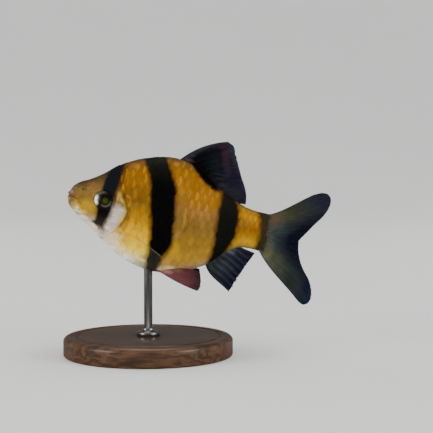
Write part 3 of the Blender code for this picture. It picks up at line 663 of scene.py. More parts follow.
def buildSkin(material):
    form, end, around = skinForm, fishForm["standardLength"], skinForm["around"]
    noseRings, headRings, bodyRings = form["rings"]
    nose = fishForm["noseRounding"] * (1 - np.cos(np.linspace(0, math.pi / 2, noseRings + 1)[1:]))
    head = np.linspace(nose[-1], form["headEnd"], headRings + 1)[1:]
    rear = np.linspace(form["headEnd"], end, bodyRings + 1)[1:]
    angles = np.linspace(0, 2 * math.pi, around, endpoint=False) + math.pi / around
    points = bodyPoint(*np.meshgrid(np.concatenate([nose, head, rear]), angles, indexing="ij"))
    wrapped = np.concatenate([points[:, -1:], points, points[:, :1]], axis=1)
    normals = unit(np.cross(np.gradient(points, axis=0), wrapped[:, 2:] - wrapped[:, :-2]))
    points = points + normals * headRelief(points[..., 0], points[..., 2])[..., None]
    rings = [points]
    for share in (0.6, 0.95):  # rounds the end inside the tail fin's root
        centre = points[-1:].mean(axis=1, keepdims=True)
        ring = centre + (points[-1:] - centre) * math.sqrt(1 - share**2)
        ring[..., 0] = end + fishForm["tailCap"] * share
        rings.append(ring)
    grid = np.concatenate(rings)
    tips = [form["cleft"], (end + fishForm["tailCap"], float(swing(end)), float(section(end)[0]))]
    spots = np.concatenate([grid.reshape(-1, 3), tips])
    return newPiece("skin", toRow(spots), tubeFaces(len(grid), around), material,
                    ("head", "lower_jaw", "gill_cover_left", "gill_cover_right", "trunk", "tail_stalk"))


def skinMaterial():
    material, tree = newMaterial("barbSkin")
    place = fishCoordinates(tree)
    colour = placeGroup(tree, barbMarkingsAndPaintedLight, {"Place": place, "Shift": 0.0})[0]
    speckle = place.noise(5.0, 3.0, 0.7)
    cells = made(tree, "TexVoronoi", {"Vector": place, "Scale": 3.2}, feature="DISTANCE_TO_EDGE")
    inputs = {"Base Color": speckle.spread(0.3, 0.7, 0.9, 1.08).shade(colour),
              "Roughness": speckle.spread(0.2, 0.8, 0.34, 0.5), **skinForm["finish"]}
    return endMaterial(material, inputs, cells.fade(0.0, 0.12) * 0.35 + speckle, 0.03, 0.6)


skin = buildSkin(skinMaterial())
print("skin built:", len(skin.data.polygons), "faces")

# Scales: overlapping plates in rows along the lateral line, roots under the skin and rear edges raised
scaleForm = {
    "pitch": ((10.0, 1.6), (16.0, 1.75), (24.0, 1.95), (32.0, 2.05), (38.0, 1.85), (44.0, 1.5), (52.0, 1.3)),
    "rowSpacing": (1.19, 0.0383),  # at no girth, and for each millimetre of half the girth
    "halfLength": 1.02,  # of the pitch
    "halfHeight": 0.86,  # of the row spacing
    "rearRound": 0.6,
    "frontDepth": 0.21,
    "rearDepth": 0.02,
    "thick": 0.1,
    "dish": 0.02,  # how far a plate's middle line stands over its sides
    "inset": 0.12,  # of the row spacing, from the middle of back and belly
    "tucked": 0.35,  # depth for each millimetre past that middle
    "underCover": 0.8,  # how far in front of the gill slit they start
    "steps": (11, 12),  # along and across
    "firstX": 10.4,
    "lastX": 51.4,
    "lateralLine": ((10.0, 4.6), (16.0, 3.2), (24.0, 1.6), (32.0, 1.3), (40.0, 1.9), (46.0, 2.6),
                    (52.0, 2.85), (56.0, 2.9)),
    "rows": 9,
    # colour of the painted highlight streaks on the scales
    "glint": (208, 154, 36),
}


class Flank:  # the left flank unrolled: the body's angle at each x and girth, from the lateral line up
    def __init__(self):
        self.xs, self.girths = np.arange(9.0, 57.0, 0.25), np.arange(-24.0, 24.01, 0.2)
        angles = np.radians(np.linspace(-170, 170, 1361))
        left = np.abs(angles) <= math.pi / 2
        columns = []
        for x in self.xs:
            ring = bodyPoint(np.full_like(angles, x), angles)
            along = runLength(ring[:, 1:])
            along -= np.interp(smooth(scaleForm["lateralLine"], 1, x), ring[left, 2], along[left])
            top, bottom = np.interp((math.pi / 2, -math.pi / 2), angles, along)
            columns.append((np.interp(self.girths, along, angles), top, -bottom))
        self.angleAt, self.top, self.bottom = (np.array(values) for values in zip(*columns))

    def limits(self, x):  # how far the flank reaches above and below the lateral line
        return np.interp(x, self.xs, self.top), np.interp(x, self.xs, self.bottom)

    def rowSpacing(self, x):
        base, rise = scaleForm["rowSpacing"]
        return base + rise * sum(self.limits(x))

    def point(self, x, girth):
        column = np.clip((x - self.xs[0]) / 0.25, 0, len(self.xs) - 1.001)
        row = np.clip((girth - self.girths[0]) / 0.2, 0, len(self.girths) - 1.001)
        i, j = column.astype(int), row.astype(int)
        near, far = (mix((self.angleAt[i, j + k], self.angleAt[i + 1, j + k]), column - i) for k in (0, 1))
        return bodyPoint(x, mix((near, far), row - j))

    def normal(self, x, girth):
        away = 0.06
        alongX = self.point(x + away, girth) - self.point(x - away, girth)
        return unit(np.cross(alongX, self.point(x, girth + away) - self.point(x, girth - away)))


def scaleSpots(flank):  # column, row and middle of each scale of the left side
    slit = eased(skinForm["gillEdge"])
    spots = []
    x, column = scaleForm["firstX"], 0
    while x < scaleForm["lastX"]:
        spacing, (top, bottom) = flank.rowSpacing(x), flank.limits(x)
        inset = scaleForm["inset"] * spacing
        for row in range(-scaleForm["rows"], scaleForm["rows"] + 1):
            girth = row * spacing
            if (row + column) % 2 or girth > top - inset or girth < inset - bottom:
                continue
            spot = flank.point(np.array([x]), np.array([girth]))[0]
            if lineSpot(spot[:1], spot[2:], slit)[0][0] > -scaleForm["underCover"]:
                spots.append((column, row, x))
        x += smooth(scaleForm["pitch"], 1, x) / 2
        column += 1
    return spots, column


def buildScales(name, side, material, flank):
    form = scaleForm
    spots, columns = scaleSpots(flank)
    alongSteps, acrossSteps = form["steps"]
    a = 1 - (1 - np.linspace(0, 1, alongSteps + 1)) ** 1.5  # closer together towards the rear edge
    a, b = np.meshgrid(a, np.linspace(-1, 1, acrossSteps + 1), indexing="ij")
    along = mix((0.25 * np.abs(b) ** 3 - 1, 1 - form["rearRound"] * np.abs(b) ** 2.2), a)
    shell = shellFaces(alongSteps + 1, acrossSteps + 1)
    cell, cells = cellMap(a, b, shell), np.array([columns + 1, 2 * form["rows"] + 2])
    points, faces, maps = [], [], []
    values = {"scaleAlong": [], "scaleAcross": [], "scaleShift": [], "scaleTone": []}
    for number, (column, row, middle) in enumerate(spots):
        wobble, tone, tilt = rng.normal(0, 0.03), rng.uniform(-1, 1), rng.normal(0, 0.01)
        halfLength = form["halfLength"] * smooth(form["pitch"], 1, middle)
        x = middle + halfLength * along * (1 + wobble)
        spacing, (top, bottom) = flank.rowSpacing(x), flank.limits(x)
        girth = row * spacing + form["halfHeight"] * spacing * b * (1 + wobble)
        past = np.clip(girth - top, 0, None) + np.clip(-bottom - girth, 0, None)
        height = mix((-form["frontDepth"], tilt - form["rearDepth"]), (along + 1) / 2)
        height = height + form["dish"] * (1 - b * b) - 0.025 * step(a, 0.9, 1.0)
        height = np.minimum(height, -0.005) - form["tucked"] * past
        base, normal = flank.point(x, girth), flank.normal(x, girth)
        shift = 0.14 * (middle + halfLength * 0.45 - x) + 0.17 * tone  # of the markings, scale by scale
        for depth in (0.0, form["thick"]):
            points.append((base + normal * (height - depth)[..., None]).reshape(-1, 3))
            for label, data in zip(values, (along, b, shift, np.full_like(b, tone))):
                values[label].append(data.ravel())
        faces.append(shell + number * 2 * a.size)
        maps.append((cell * (2, 1) + (column, row + form["rows"])) / cells)
    points, faces, maps = (np.concatenate(parts) for parts in (points, faces, maps))
    if side > 0:
        points[:, 1] = 2 * swing(points[:, 0]) - points[:, 1]
    if filled(points - points.mean(axis=0), [faces]) < 0:
        faces, maps = faces[:, ::-1], maps[:, ::-1]
    values = {label: np.concatenate(data) for label, data in values.items()}
    piece = newPiece(name, toRow(points), [faces], material, (), values)
    layer = piece.data.uv_layers.new(name="OFBake")
    layer.data.foreach_set("uv", maps.astype(np.float32).ravel())
    return piece


def cellMap(a, b, shell):  # the face corners of one scale in its own cell: top, underside and rim apart
    rimCount = len(shell) - 2 * (a.shape[0] - 1) * (a.shape[1] - 1)
    across, deep = 0.04 + 0.92 * a.ravel(), (b.ravel() + 1) / 2
    bands = ((0.24, 0.72), (0.11, 0.09))  # of the top and the underside: where each begins and how high it is
    corners = np.concatenate([np.stack([across, low + high * deep], -1) for low, high in bands])[shell]
    width = 0.92 / rimCount
    start = np.arange(rimCount) * width + 0.04
    corners[-rimCount:] = np.stack([np.stack([start + width * dx, np.full(rimCount, 0.03 + 0.05 * dy)], -1)
                                    for dx, dy in ((0, 1), (0, 0), (1, 0), (1, 1))], axis=1)
    return corners


def scaleMaterial():
    material, tree = newMaterial("barbScales")
    place = fishCoordinates(tree)
    along, across, shift, own = attributes(tree, "scaleAlong", "scaleAcross", "scaleShift", "scaleTone")
    marked, bars, gleam = placeGroup(tree, barbMarkingsAndPaintedLight, {"Place": place, "Shift": shift})
    side = abs(across)
    fromEdge = side**2.2 * -scaleForm["rearRound"] + 1.0 - along  # 0 at the rear edge, 1 at the middle
    # painted highlight: a light streak across each scale's middle, brightening it and tinting it towards the
    # glint colour, outside the bars
    glintStreak = side.fade(0.75, 0.3) * fromEdge.fade(0.3, 0.42) * fromEdge.fade(0.66, 0.52)
    glintStreak = glintStreak * own.fade(-0.9, 0.9) * gleam
    colour = (own * 0.04 + 1.0 + glintStreak * 0.28 - fromEdge.fade(0.14, 0.02) * 0.08).shade(marked)
    colour = bars.opposite().blend(colour, (glintStreak * 0.4).blend(colour, scaleForm["glint"]))
    grain = place.noise(6.0)
    height = (fromEdge * 55.0).maths("SINE") * 0.35 + (across * 26.0).maths("SINE") * 0.25 + grain
    inputs = {"Base Color": colour, "Roughness": grain.spread(0.25, 0.75, 0.32, 0.46), **skinForm["finish"]}
    return endMaterial(material, inputs, height, 0.012, 0.7)


flankMap, scaleLook = Flank(), scaleMaterial()
for pieceName, side in (("scalesLeft", -1), ("scalesRight", 1)):
    piece = buildScales(pieceName, side, scaleLook, flankMap)
    print(pieceName, "built:", len(piece.data.polygons), "faces")

# Fins: thin webs between rays that branch towards the margin, and taper to fine tips
finForm = {
    "dorsal_fin": {
        "name": "dorsalFin", "slot": "fin", "root": (25.6, 42.4), "up": 1,
        "margin": ((37.45, 23.8), (38.75, 23.2), (40.05, 20.9), (41.4, 18.2), (42.9, 15.3), (44.2, 13.1),
                   (45.0, 11.2), (45.4, 8.9)),
        "bow": (1.2, 0.1), "rays": 12, "simple": 3,
    },
    "anal_fin": {
        "name": "analFin", "slot": "fin", "root": (38.35, 45.2), "up": -1,
        "margin": ((46.3, -14.4), (47.0, -12.9), (47.7, -10.4), (48.6, -7.8), (49.6, -5.2), (50.6, -2.9)),
        "bow": (-0.85, 0.0), "hump": "early", "rays": 8, "simple": 2, "ragged": 0.05,
    },
    "caudal_fin_upper": {
        "name": "caudalFin", "slot": "fin", "root": ((51.1, 7.3), (51.5, 5.0), (51.6, 2.85)),
        "margin": ((62.3, 15.4), (64.1, 16.25), (65.6, 16.4), (66.7, 15.6), (67.15, 13.6), (66.4, 11.0),
                   (64.6, 8.2), (62.6, 5.1), (61.15, 2.75)),
        "bow": (-0.45, 0.0), "hump": "early", "rays": 10, "simple": 1,
    },
    "caudal_fin_lower": {
        "root": ((51.1, -1.6), (51.5, 0.7), (51.6, 2.85)),
        "margin": ((63.9, -12.4), (65.4, -13.4), (66.8, -13.5), (67.75, -12.3), (67.7, -9.9), (66.3, -7.0),
                   (64.2, -4.6), (62.7, -2.3), (61.6, 0.4), (61.15, 2.75)),
        "bow": (-0.6, 0.0), "hump": "early", "rays": 10, "simple": 1,
    },
    "pelvic_fin": {
        "name": "pelvicFin", "slot": "red_fin", "bow": (-0.4, 0.6), "rays": 9, "simple": 1,
        "root": ((26.7, 1.1, -12.6), (28.1, 1.4, -12.4), (29.5, 1.7, -11.9)),
        "margin": ((38.2, 3.3, -15.4), (38.6, 3.5, -14.5), (38.2, 3.7, -12.4), (37.5, 3.7, -10.4)),
    },
    "pectoral_fin": {
        "name": "pectoralFin", "slot": "clear_fin", "root": ((15.9, -4.4), (15.2, -7.0)),
        "margin": ((27.5, -8.6), (27.8, -10.0), (27.0, -11.7), (25.2, -12.7), (22.6, -12.8), (19.8, -11.6)),
        "bow": (0.5, 0.0), "offFlank": (0.1, 1.7), "lean": 0.35, "rays": 13, "simple": 1,
    },
}
finBuild = {
    "columns": 16,  # for each gap between two rays
    "rows": 84,
    "web": (0.07, 0.03),  # half thickness at the root and at the margin
    "ray": (0.2, 0.07),
    "rayWidth": (0.17, 0.075),
    "branches": ((0.24, 0.36), (0.11, 0.66)),  # first and second: how far apart, and where they begin
    "leading": 0.07,  # extra half thickness of the leading ray
    "foot": 0.38,  # the same where the fin leaves the body
    "tip": 0.75,  # how much thinner the last of the margin is
    "sunk": 0.9,
    "wave": 0.14,
}


def finPlaces(node, spec, s, t, side):  # s over the rays, t from root to tip, both grids
    hump = 6.75 * t * (1 - t) ** 2 if spec.get("hump") == "early" else 4 * t * (1 - t)
    bow = mix(spec["bow"], s) * hump
    if "up" in spec:
        xs = np.linspace(*spec["root"], 6)
        middle, high, _, _ = section(xs)
        root = np.column_stack([xs, middle + spec["up"] * (high - finBuild["sunk"])])
    else:
        root = eased(spec["root"])
    start, end = atShare(root, s), atShare(eased(spec["margin"]), s)
    place = mix((start, end), t[..., None])
    if node == "pelvic_fin":
        return np.stack([place[..., 0], side * place[..., 1], place[..., 2] + bow], axis=-1)
    if node == "pectoral_fin":
        x, z = place[..., 0], place[..., 1] + bow
        level = z + (section(x)[0] - z) * spec["lean"] * t
        return np.stack([x, side * (flankWidth(x, level) + mix(spec["offFlank"], t)), z], axis=-1)
    chord = unit(end - start)
    x, z = place[..., 0] - chord[..., 1] * bow, place[..., 1] + chord[..., 0] * bow
    return np.stack([x, swing(x), z], axis=-1)


def rayRidges(spec, s, t, spacing):
    at = s * (spec["rays"] - 1)
    nearest = np.round(at)
    branched = step(nearest, spec["simple"] - 0.5, spec["simple"] + 0.5)
    away = np.abs(at - nearest)
    for apart, begin in finBuild["branches"]:
        away = np.abs(away - branched * apart * step(t, begin, 1.05))
    return bell(away, np.maximum(mix(finBuild["rayWidth"], t) / spacing, 0.055))


def finSheet(node, side):  # the two faces of one fin, and its values
    spec = finForm[node]
    last = spec["rays"] - 1
    s, t = np.linspace(0, 1, last * finBuild["columns"] + 1), np.linspace(0, 1, finBuild["rows"] + 1)
    s, t = np.meshgrid(s, t, indexing="ij")
    rough = finPlaces(node, spec, s, t, side)
    spacing = np.linalg.norm(np.gradient(rough, axis=0), axis=-1) * finBuild["columns"]
    ridge = rayRidges(spec, s, t, spacing)
    atTip = rayRidges(spec, s, np.ones_like(t), spacing[:, -1:])
    split = np.interp(s[:, 0] * last, np.arange(last + 1) + 0.5, rng.uniform(0.2, 1.0, last + 1))[:, None]
    places = finPlaces(node, spec, s, t * (1 - spec.get("ragged", 0.02) * (1 - atTip) * split), side)
    normals = unit(np.cross(np.gradient(places, axis=0), np.gradient(places, axis=1)))
    places = places + normals * (finBuild["wave"] * t**1.3 * np.sin(9.0 * s + 2.4 * t + len(node)))[..., None]
    half = mix((mix(finBuild["web"], t), mix(finBuild["ray"], t)), ridge)
    half = half + finBuild["leading"] * bell(s * last, 0.35) * (1 - 0.6 * t)
    half = half + finBuild["foot"] * np.exp(-t / 0.07)
    thick = normals * (half * (1 - finBuild["tip"] * step(t, 0.965, 1.0)))[..., None]
    lobe = np.full_like(s, node == "caudal_fin_lower")
    # painted light and shade across the fin, one band per ray, as on a pleated fin
    band = 0.5 + 0.5 * np.cos(2 * math.pi * s * last + 1.2 * np.sin(7.0 * t + 3.0 * s))
    return [places + thick, places - thick, t, s, ridge, band, lobe]


def buildFin(node, side, material):
    sheet, replaced = finSheet(node, side), (node,)
    if node == "caudal_fin_upper":  # both lobes make one fan, joined along the middle ray
        lower = [grid[::-1] for grid in finSheet("caudal_fin_lower", 0)]
        lower[0], lower[1] = lower[1], lower[0]
        sheet = [np.concatenate([a[:-1], (a[-1:] + b[:1]) / 2, b[1:]]) for a, b in zip(sheet, lower)]
        replaced = (node, "caudal_fin_lower")
    elif side:
        replaced = (node + ("_left" if side < 0 else "_right"),)
    points = np.concatenate([face.reshape(-1, 3) for face in sheet[:2]])
    labels = ("finAlong", "finAcross", "finRay", "finPleatShading", "finLobe")
    values = {label: np.tile(data.ravel(), 2) for label, data in zip(labels, sheet[2:])}
    spec, faces = finForm[node], shellFaces(*sheet[2].shape)
    name = spec["name"] + ("" if side == 0 else "Left" if side < 0 else "Right")
    return newPiece(name, toRow(points), [faces], material, replaced, values)


# Fin colours from the root to the margin, on the leading rays and on the last ones, and spots laid on them
finCover = {
    "Pleat Shading Gain": 0.08, "Web": 0.97, "Margin": 0.95, "Ray Cover": 0.95, "Root Cover": 0.7, "Edge Cover": 0.9,
}
finPaint = {
    "dorsal_fin": {
        "lead": ((0.0, (5, 6, 6)), (0.35, (7, 8, 10)), (0.7, (14, 16, 22)), (0.88, (21, 19, 30)),
                 (1.0, (48, 46, 60))),
        "rear": ((0.0, (36, 34, 42)), (0.35, (32, 29, 42)), (0.7, (28, 23, 43)), (1.0, (31, 28, 45))),
        "turn": (0.3, 0.85), "ray": (58, 66, 72), "rayGain": 0.06, "cover": {"Margin": 0.9},
        "front": (60, 57, 68), "frontWidth": 0.1,  # front is a painted highlight along the leading edge; frontWidth is how far across its leading edge it reaches
        "touches": (
            (28.0, 16.8, 1.7, 0.6, (98, 80, 62), 0.7), (28.9, 18.1, 0.8, 0.6, (50, 43, 58), 0.8),
            (36.0, 17.6, 2.8, 2.2, (17, 23, 31), 0.75), (36.8, 15.0, 1.9, 0.22, (42, 52, 52), 0.55),
            (37.4, 14.0, 1.7, 0.2, (44, 52, 52), 0.5), (36.2, 22.0, 1.1, 0.6, (62, 27, 46), 0.8),
            (37.1, 20.6, 0.9, 1.5, (66, 28, 48), 0.75), (38.1, 18.4, 1.0, 1.6, (62, 31, 49), 0.6),
            (38.9, 16.2, 1.1, 1.5, (56, 36, 54), 0.6), (38.5, 12.4, 1.1, 0.6, (52, 51, 57), 0.65),
            (41.2, 15.4, 1.0, 2.4, (25, 19, 52), 0.75), (38.5, 21.6, 0.8, 1.4, (48, 43, 58), 0.7),
            (40.3, 18.9, 0.7, 1.8, (38, 31, 56), 0.6), (41.9, 11.2, 2.4, 1.6, (41, 38, 49), 0.6),
        ),
    },
    "anal_fin": {
        "lead": ((0.0, (70, 72, 66)), (0.12, (46, 50, 54)), (0.5, (38, 45, 55)), (0.82, (22, 26, 44)),
                 (1.0, (13, 16, 38))),
        "rear": ((0.0, (84, 86, 86)), (0.25, (44, 48, 56)), (0.6, (24, 26, 40)), (1.0, (12, 13, 30))),
        "turn": (0.25, 0.9), "ray": (84, 94, 108), "rayGain": 0.2, "front": (48, 52, 63),
        "cover": {"Pleat Shading Gain": 0.3},
        "touches": (
            # painted highlight along the fin's base: the pale touch at 43.7, -3.8
            (43.7, -3.8, 1.4, 1.0, (106, 114, 122), 0.75), (42.8, -7.8, 1.2, 1.6, (58, 64, 72), 0.5),
            (41.8, -6.0, 1.6, 0.5, (16, 18, 13), 0.6), (45.6, -12.2, 0.8, 1.3, (17, 20, 46), 0.6),
            (46.7, -10.2, 1.0, 1.9, (11, 12, 29), 0.7),
        ),
    },
    "caudal_fin_upper": {
        "lead": ((0.0, (104, 92, 74)), (0.2, (82, 80, 62)), (0.45, (56, 60, 42)), (0.75, (42, 43, 48)),
                 (1.0, (29, 29, 48))),
        "rear": ((0.0, (96, 92, 80)), (0.26, (76, 82, 77)), (0.4, (46, 57, 60)), (0.62, (22, 29, 38)),
                 (0.8, (9, 11, 25)), (1.0, (8, 9, 22))),
        "turn": (0.25, 0.9), "ray": (84, 90, 86), "rayGain": 0.06, "front": (68, 68, 66),
        "cover": {"Pleat Shading Gain": 0.06},
        "touches": (
            (52.4, 0.2, 0.55, 2.6, (58, 49, 28), 0.8), (53.9, 6.8, 1.0, 1.6, (122, 80, 58), 0.75),
            (53.2, 3.6, 0.35, 1.7, (104, 90, 78), 0.6), (53.6, -0.1, 0.4, 1.5, (106, 94, 74), 0.6),
            (54.2, -2.3, 1.1, 0.9, (104, 102, 60), 0.75), (53.6, -3.4, 1.2, 1.0, (116, 114, 98), 0.45),
            (55.3, -5.0, 1.5, 1.3, (94, 96, 84), 0.4), (57.2, -6.8, 1.7, 1.4, (80, 83, 76), 0.4),
            (56.7, -3.0, 1.7, 1.3, (70, 75, 46), 0.6), (56.9, 8.3, 2.0, 1.2, (62, 65, 33), 0.6),
            (61.1, 12.1, 2.2, 1.2, (46, 46, 50), 0.6), (64.9, 14.2, 2.2, 2.0, (26, 28, 50), 0.85),
            (54.7, 3.7, 1.0, 0.9, (46, 57, 59), 0.6), (60.2, 2.0, 1.9, 2.8, (7, 8, 25), 0.9),
            (61.2, -7.8, 1.4, 2.2, (27, 31, 34), 0.6), (65.9, -8.8, 1.2, 2.4, (8, 17, 42), 0.85),
            (66.9, -12.0, 1.2, 1.4, (20, 31, 56), 0.7),
        ),
    },
    "caudal_fin_lower": {
        "lead": ((0.0, (112, 106, 84)), (0.2, (86, 88, 58)), (0.5, (52, 58, 49)), (0.8, (33, 39, 44)),
                 (1.0, (20, 27, 46))),
        "rear": ((0.0, (96, 92, 80)), (0.26, (74, 80, 76)), (0.4, (42, 52, 56)), (0.6, (22, 29, 39)),
                 (0.78, (10, 12, 27)), (1.0, (8, 10, 24))),
    },
    "pelvic_fin": {
        "lead": ((0.0, (176, 124, 112)), (0.25, (134, 74, 82)), (0.7, (112, 54, 64)), (1.0, (74, 36, 50))),
        "rear": ((0.0, (140, 80, 68)), (0.4, (114, 48, 50)), (0.8, (70, 28, 36)), (1.0, (46, 28, 38))),
        "turn": (0.25, 0.95), "ray": (142, 84, 86), "rayGain": 0.12, "front": (128, 88, 96),
        "cover": {"Margin": 0.88},
        "touches": (
            (29.4, -12.3, 1.5, 0.6, (190, 160, 146), 0.6), (31.6, -11.5, 1.6, 0.6, (154, 104, 100), 0.5),
            (34.0, -12.0, 1.4, 1.0, (118, 48, 48), 0.6), (37.6, -14.4, 1.5, 1.0, (56, 24, 36), 0.7),
            (37.6, -11.4, 0.7, 0.9, (44, 18, 24), 0.7),
        ),
    },
    "pectoral_fin": {
        "lead": ((0.0, (204, 154, 74)), (0.3, (168, 156, 128)), (1.0, (138, 136, 130))),
        "rear": ((0.0, (204, 158, 84)), (0.3, (168, 156, 128)), (1.0, (138, 136, 130))),
        "turn": (0.2, 0.9), "ray": (176, 170, 150), "rayGain": 0.5, "front": (128, 108, 74), "touches": (),
        "cover": {"Pleat Shading Gain": 0.0, "Web": 0.014, "Margin": 0.014, "Ray Cover": 0.045, "Root Cover": 0.1,
                  "Edge Cover": 0.3},
    },
}


def buildFinGroup():
    inputs = {"Place": "Vector", **dict.fromkeys(("Along", "Across", "Ray", "Band", *finCover), "Float")}
    tree, given, put = newGroup("finWeb", inputs, {"Gain": "Float", "Height": "Float", "Opacity": "Float"})
    place, along, across, ray, band, bandGain, web, margin, rayCover, rootCover, edgeCover = given
    cloud = place.noise(0.7, 4.0, 0.6)
    joint = (along * 150.0).maths("SINE").fade(0.3, 0.95) * along.fade(0.2, 0.4) * ray
    # painted light and shade: the fin lightened and darkened band by band across its rays
    pleatShading = (band * 2.0 - 1.0) * bandGain * cloud * 2.0
    gain = cloud.spread(0.25, 0.75, 0.78, 1.22) * (pleatShading + 1.0) - joint * 0.2
    web = web - along.fade(0.8, 1.0) * (web - margin)
    root = along.fade(0.2, 0.02) * rootCover
    edge = across.fade(0.05, 0.01) * edgeCover * along.fade(0.1, 0.5)
    solid = (ray * rayCover).maths("MAXIMUM", root.maths("MAXIMUM", edge))
    opacity = (web.opposite() * solid.opposite()).opposite()
    feedAll(tree, {"Gain": gain, "Height": place.noise(7.0) - joint, "Opacity": opacity}, put)
    return tree


finWeb = buildFinGroup()


def finMaterial(node):
    look = finPaint[node]
    material, tree = newMaterial(finForm[node]["name"] + "Look")
    place = fishCoordinates(tree)
    along, across, ray, band = attributes(tree, "finAlong", "finAcross", "finRay", "finPleatShading")
    inputs = {"Place": place, "Along": along, "Across": across, "Ray": ray, "Band": band}
    gain, height, opacity = placeGroup(tree, finWeb, {**inputs, **finCover, **look["cover"]})
    cloud = place.noise(0.4) - 0.5

    def painted(colours):
        share = cloud * 0.3 + along
        return across.fade(*look["turn"]).blend(share.stops(colours["lead"]), share.stops(colours["rear"]))

    colour = painted(look)
    if node == "caudal_fin_upper":
        colour = attributes(tree, "finLobe")[0].blend(colour, painted(finPaint["caudal_fin_lower"]))
    # a paler leading edge; on the dorsal fin it is a painted highlight
    front = across.fade(look.get("frontWidth", 0.06), 0.0) * along.fade(1.3, 0.4) * 0.9
    raySeen = ray * (place.noise(0.6) * (2 * look["rayGain"]))
    colour = layTouches(place, cloud, look["touches"], colour)
    colour = gain.shade(laid(colour, (front, look["front"]), (raySeen, look["ray"])))
    inputs = {"Base Color": colour, "Alpha": opacity, "Roughness": 0.45, "Specular IOR Level": 0.045}
    return endMaterial(material, inputs, height, 0.02, 0.6)


for node in finForm:
    if node == "caudal_fin_lower":
        continue  # built with the upper lobe
    look = finMaterial(node)
    for side in ((-1, 1) if node in ("pelvic_fin", "pectoral_fin") else (0,)):
        piece = buildFin(node, side, look)
        print(piece.name, "built:", len(piece.data.polygons), "faces")

# Eyes: domed glass painted as the fish's own, silver in front of the pupil and dark where the bar crosses,
# with a painted highlight in the silver, a painted sheen, a painted glow in the pupil and painted shade round
# the rim
eyeForm = {
    "radius": 2.47,
    "rise": 0.62,  # of the dome above its rim
    "sunk": 0.12,  # of the rim below the cheek
    "deep": 1.2,  # of its back below the rim
    "pupil": (0.6, -0.04, 1.38),  # its middle from the eye's, and its radius
    "glow": 1.08,
    "rings": 40,
    "around": 96,
    "bevel": 0.5,  # fall of the outermost ring
    # the iris's own silver; its brightest core is a painted highlight
    "silver": (214, 214, 213),
    "sheen": (116, 114, 103),
    "grey": (118, 112, 92),
    "dark": (13, 16, 15),
    "black": (3, 4, 3),
    # the glow painted in the pupil
    "green": (62, 77, 2),
}


def buildEye(name, side, material, replaced):
    form, radius, rise = eyeForm, eyeForm["radius"], eyeForm["rise"]
    ex, ez = skinForm["eyePlace"]
    away = 0.4
    across = unit(np.array([2 * away, flankWidth(ex - away, ez) - flankWidth(ex + away, ez), 0]))
    up = unit(np.array([0, flankWidth(ex, ez - away) - flankWidth(ex, ez + away), 2 * away]))
    out = unit(np.cross(across, up))
    up = np.cross(out, across)
    centre = np.array([ex, -flankWidth(ex, ez), ez]) - out * form["sunk"]
    r = np.linspace(0, 1, form["rings"] + 1)[1:]
    r, turn = np.meshgrid(r, np.linspace(0, 2 * math.pi, form["around"], endpoint=False), indexing="ij")
    ball = (radius**2 + rise**2) / (2 * rise)
    height = np.sqrt(ball**2 - (r * radius) ** 2) - (ball - rise) - form["bevel"] * step(r, 0.96, 1.0)
    flat = across * (np.cos(turn) * r)[..., None] + up * (np.sin(turn) * r)[..., None]
    spots = centre + flat * radius + out * height[..., None]
    spots = np.concatenate([spots.reshape(-1, 3), [centre + out * rise, centre - out * form["deep"]]])
    if side > 0:
        spots[:, 1] *= -1
    values = {"eyeRing": np.concatenate([r.ravel(), [0.0, 1.0]])}
    return newPiece(name, toRow(spots), tubeFaces(*r.shape), material, (replaced,), values)


def eyeMaterial():
    form = eyeForm
    material, tree = newMaterial("glassEye")
    place, (ringShare,) = fishCoordinates(tree), attributes(tree, "eyeRing")
    ex, ez = skinForm["eyePlace"]
    dx, dz = place.axis(0) - ex, place.axis(2) - ez
    away, turn = ringShare * form["radius"], dz.maths("ARCTAN2", dx)
    threads = made(tree, "CombineXYZ", {0: turn * 9.0, 1: away}).noise(1.6, 3.0, 0.6)
    strands = threads.spread(0.3, 0.7, 0.8, 1.1)

    def towards(degrees, low, high):  # 1 in this direction from the eye's middle
        return (turn - math.radians(degrees)).maths("COSINE").fade(low, high)

    def ring(value, inner, peak, outer):
        return value.fade(inner, peak) * value.fade(outer, peak)

    px, pz, pupil = form["pupil"]
    fromPupil = made(tree, "CombineXYZ", {0: dx - px, 1: dz - pz}).length()
    sheen = towards(164, 0.2, 0.95) * ring(away, 1.3, 2.0, 2.75)
    lower = towards(-48, 0.35, 0.95) * ring(fromPupil, pupil - 0.35, pupil + 0.02, pupil + 0.45)
    colour = laid(
        strands.shade(form["dark"]),
        (towards(135, 0.3, 1.0) * ring(away, 1.5, 2.0, 2.5) * 0.6, form["grey"]),
        # painted sheen: a grey arc above the silver
        (sheen * 0.75, form["sheen"]),
        # the iris's own silver, its bright core a painted highlight
        (towards(191, 0.55, 0.98) ** 3.0 * ring(away, 1.15, 1.98, 2.85), strands.shade(form["silver"])),
        (fromPupil.fade(pupil + 0.12, pupil - 0.12), form["black"]),
        (lower * 0.75, form["grey"]),
        # painted glow in the pupil
        (fromPupil.fade(form["glow"] * 1.1, 0.25), form["green"]),
        # painted shade round the rim, where the socket's edge meets the eye
        (away.fade(form["radius"] - 0.2, form["radius"]) * sheen.fade(0.3, 0.05), form["dark"]),
    )
    inputs = {"Base Color": colour, "Roughness": 0.35, "Coat Weight": 0.45, "Coat Roughness": 0.04,
              "Specular IOR Level": 0.1}
    return endMaterial(material, inputs, threads, 0.02, 0.15)


eyeLook = eyeMaterial()
for pieceName, side, node in (("eyeLeft", -1, "eye_left"), ("eyeRight", 1, "eye_right")):
    buildEye(pieceName, side, eyeLook, node)
print("eyes set")

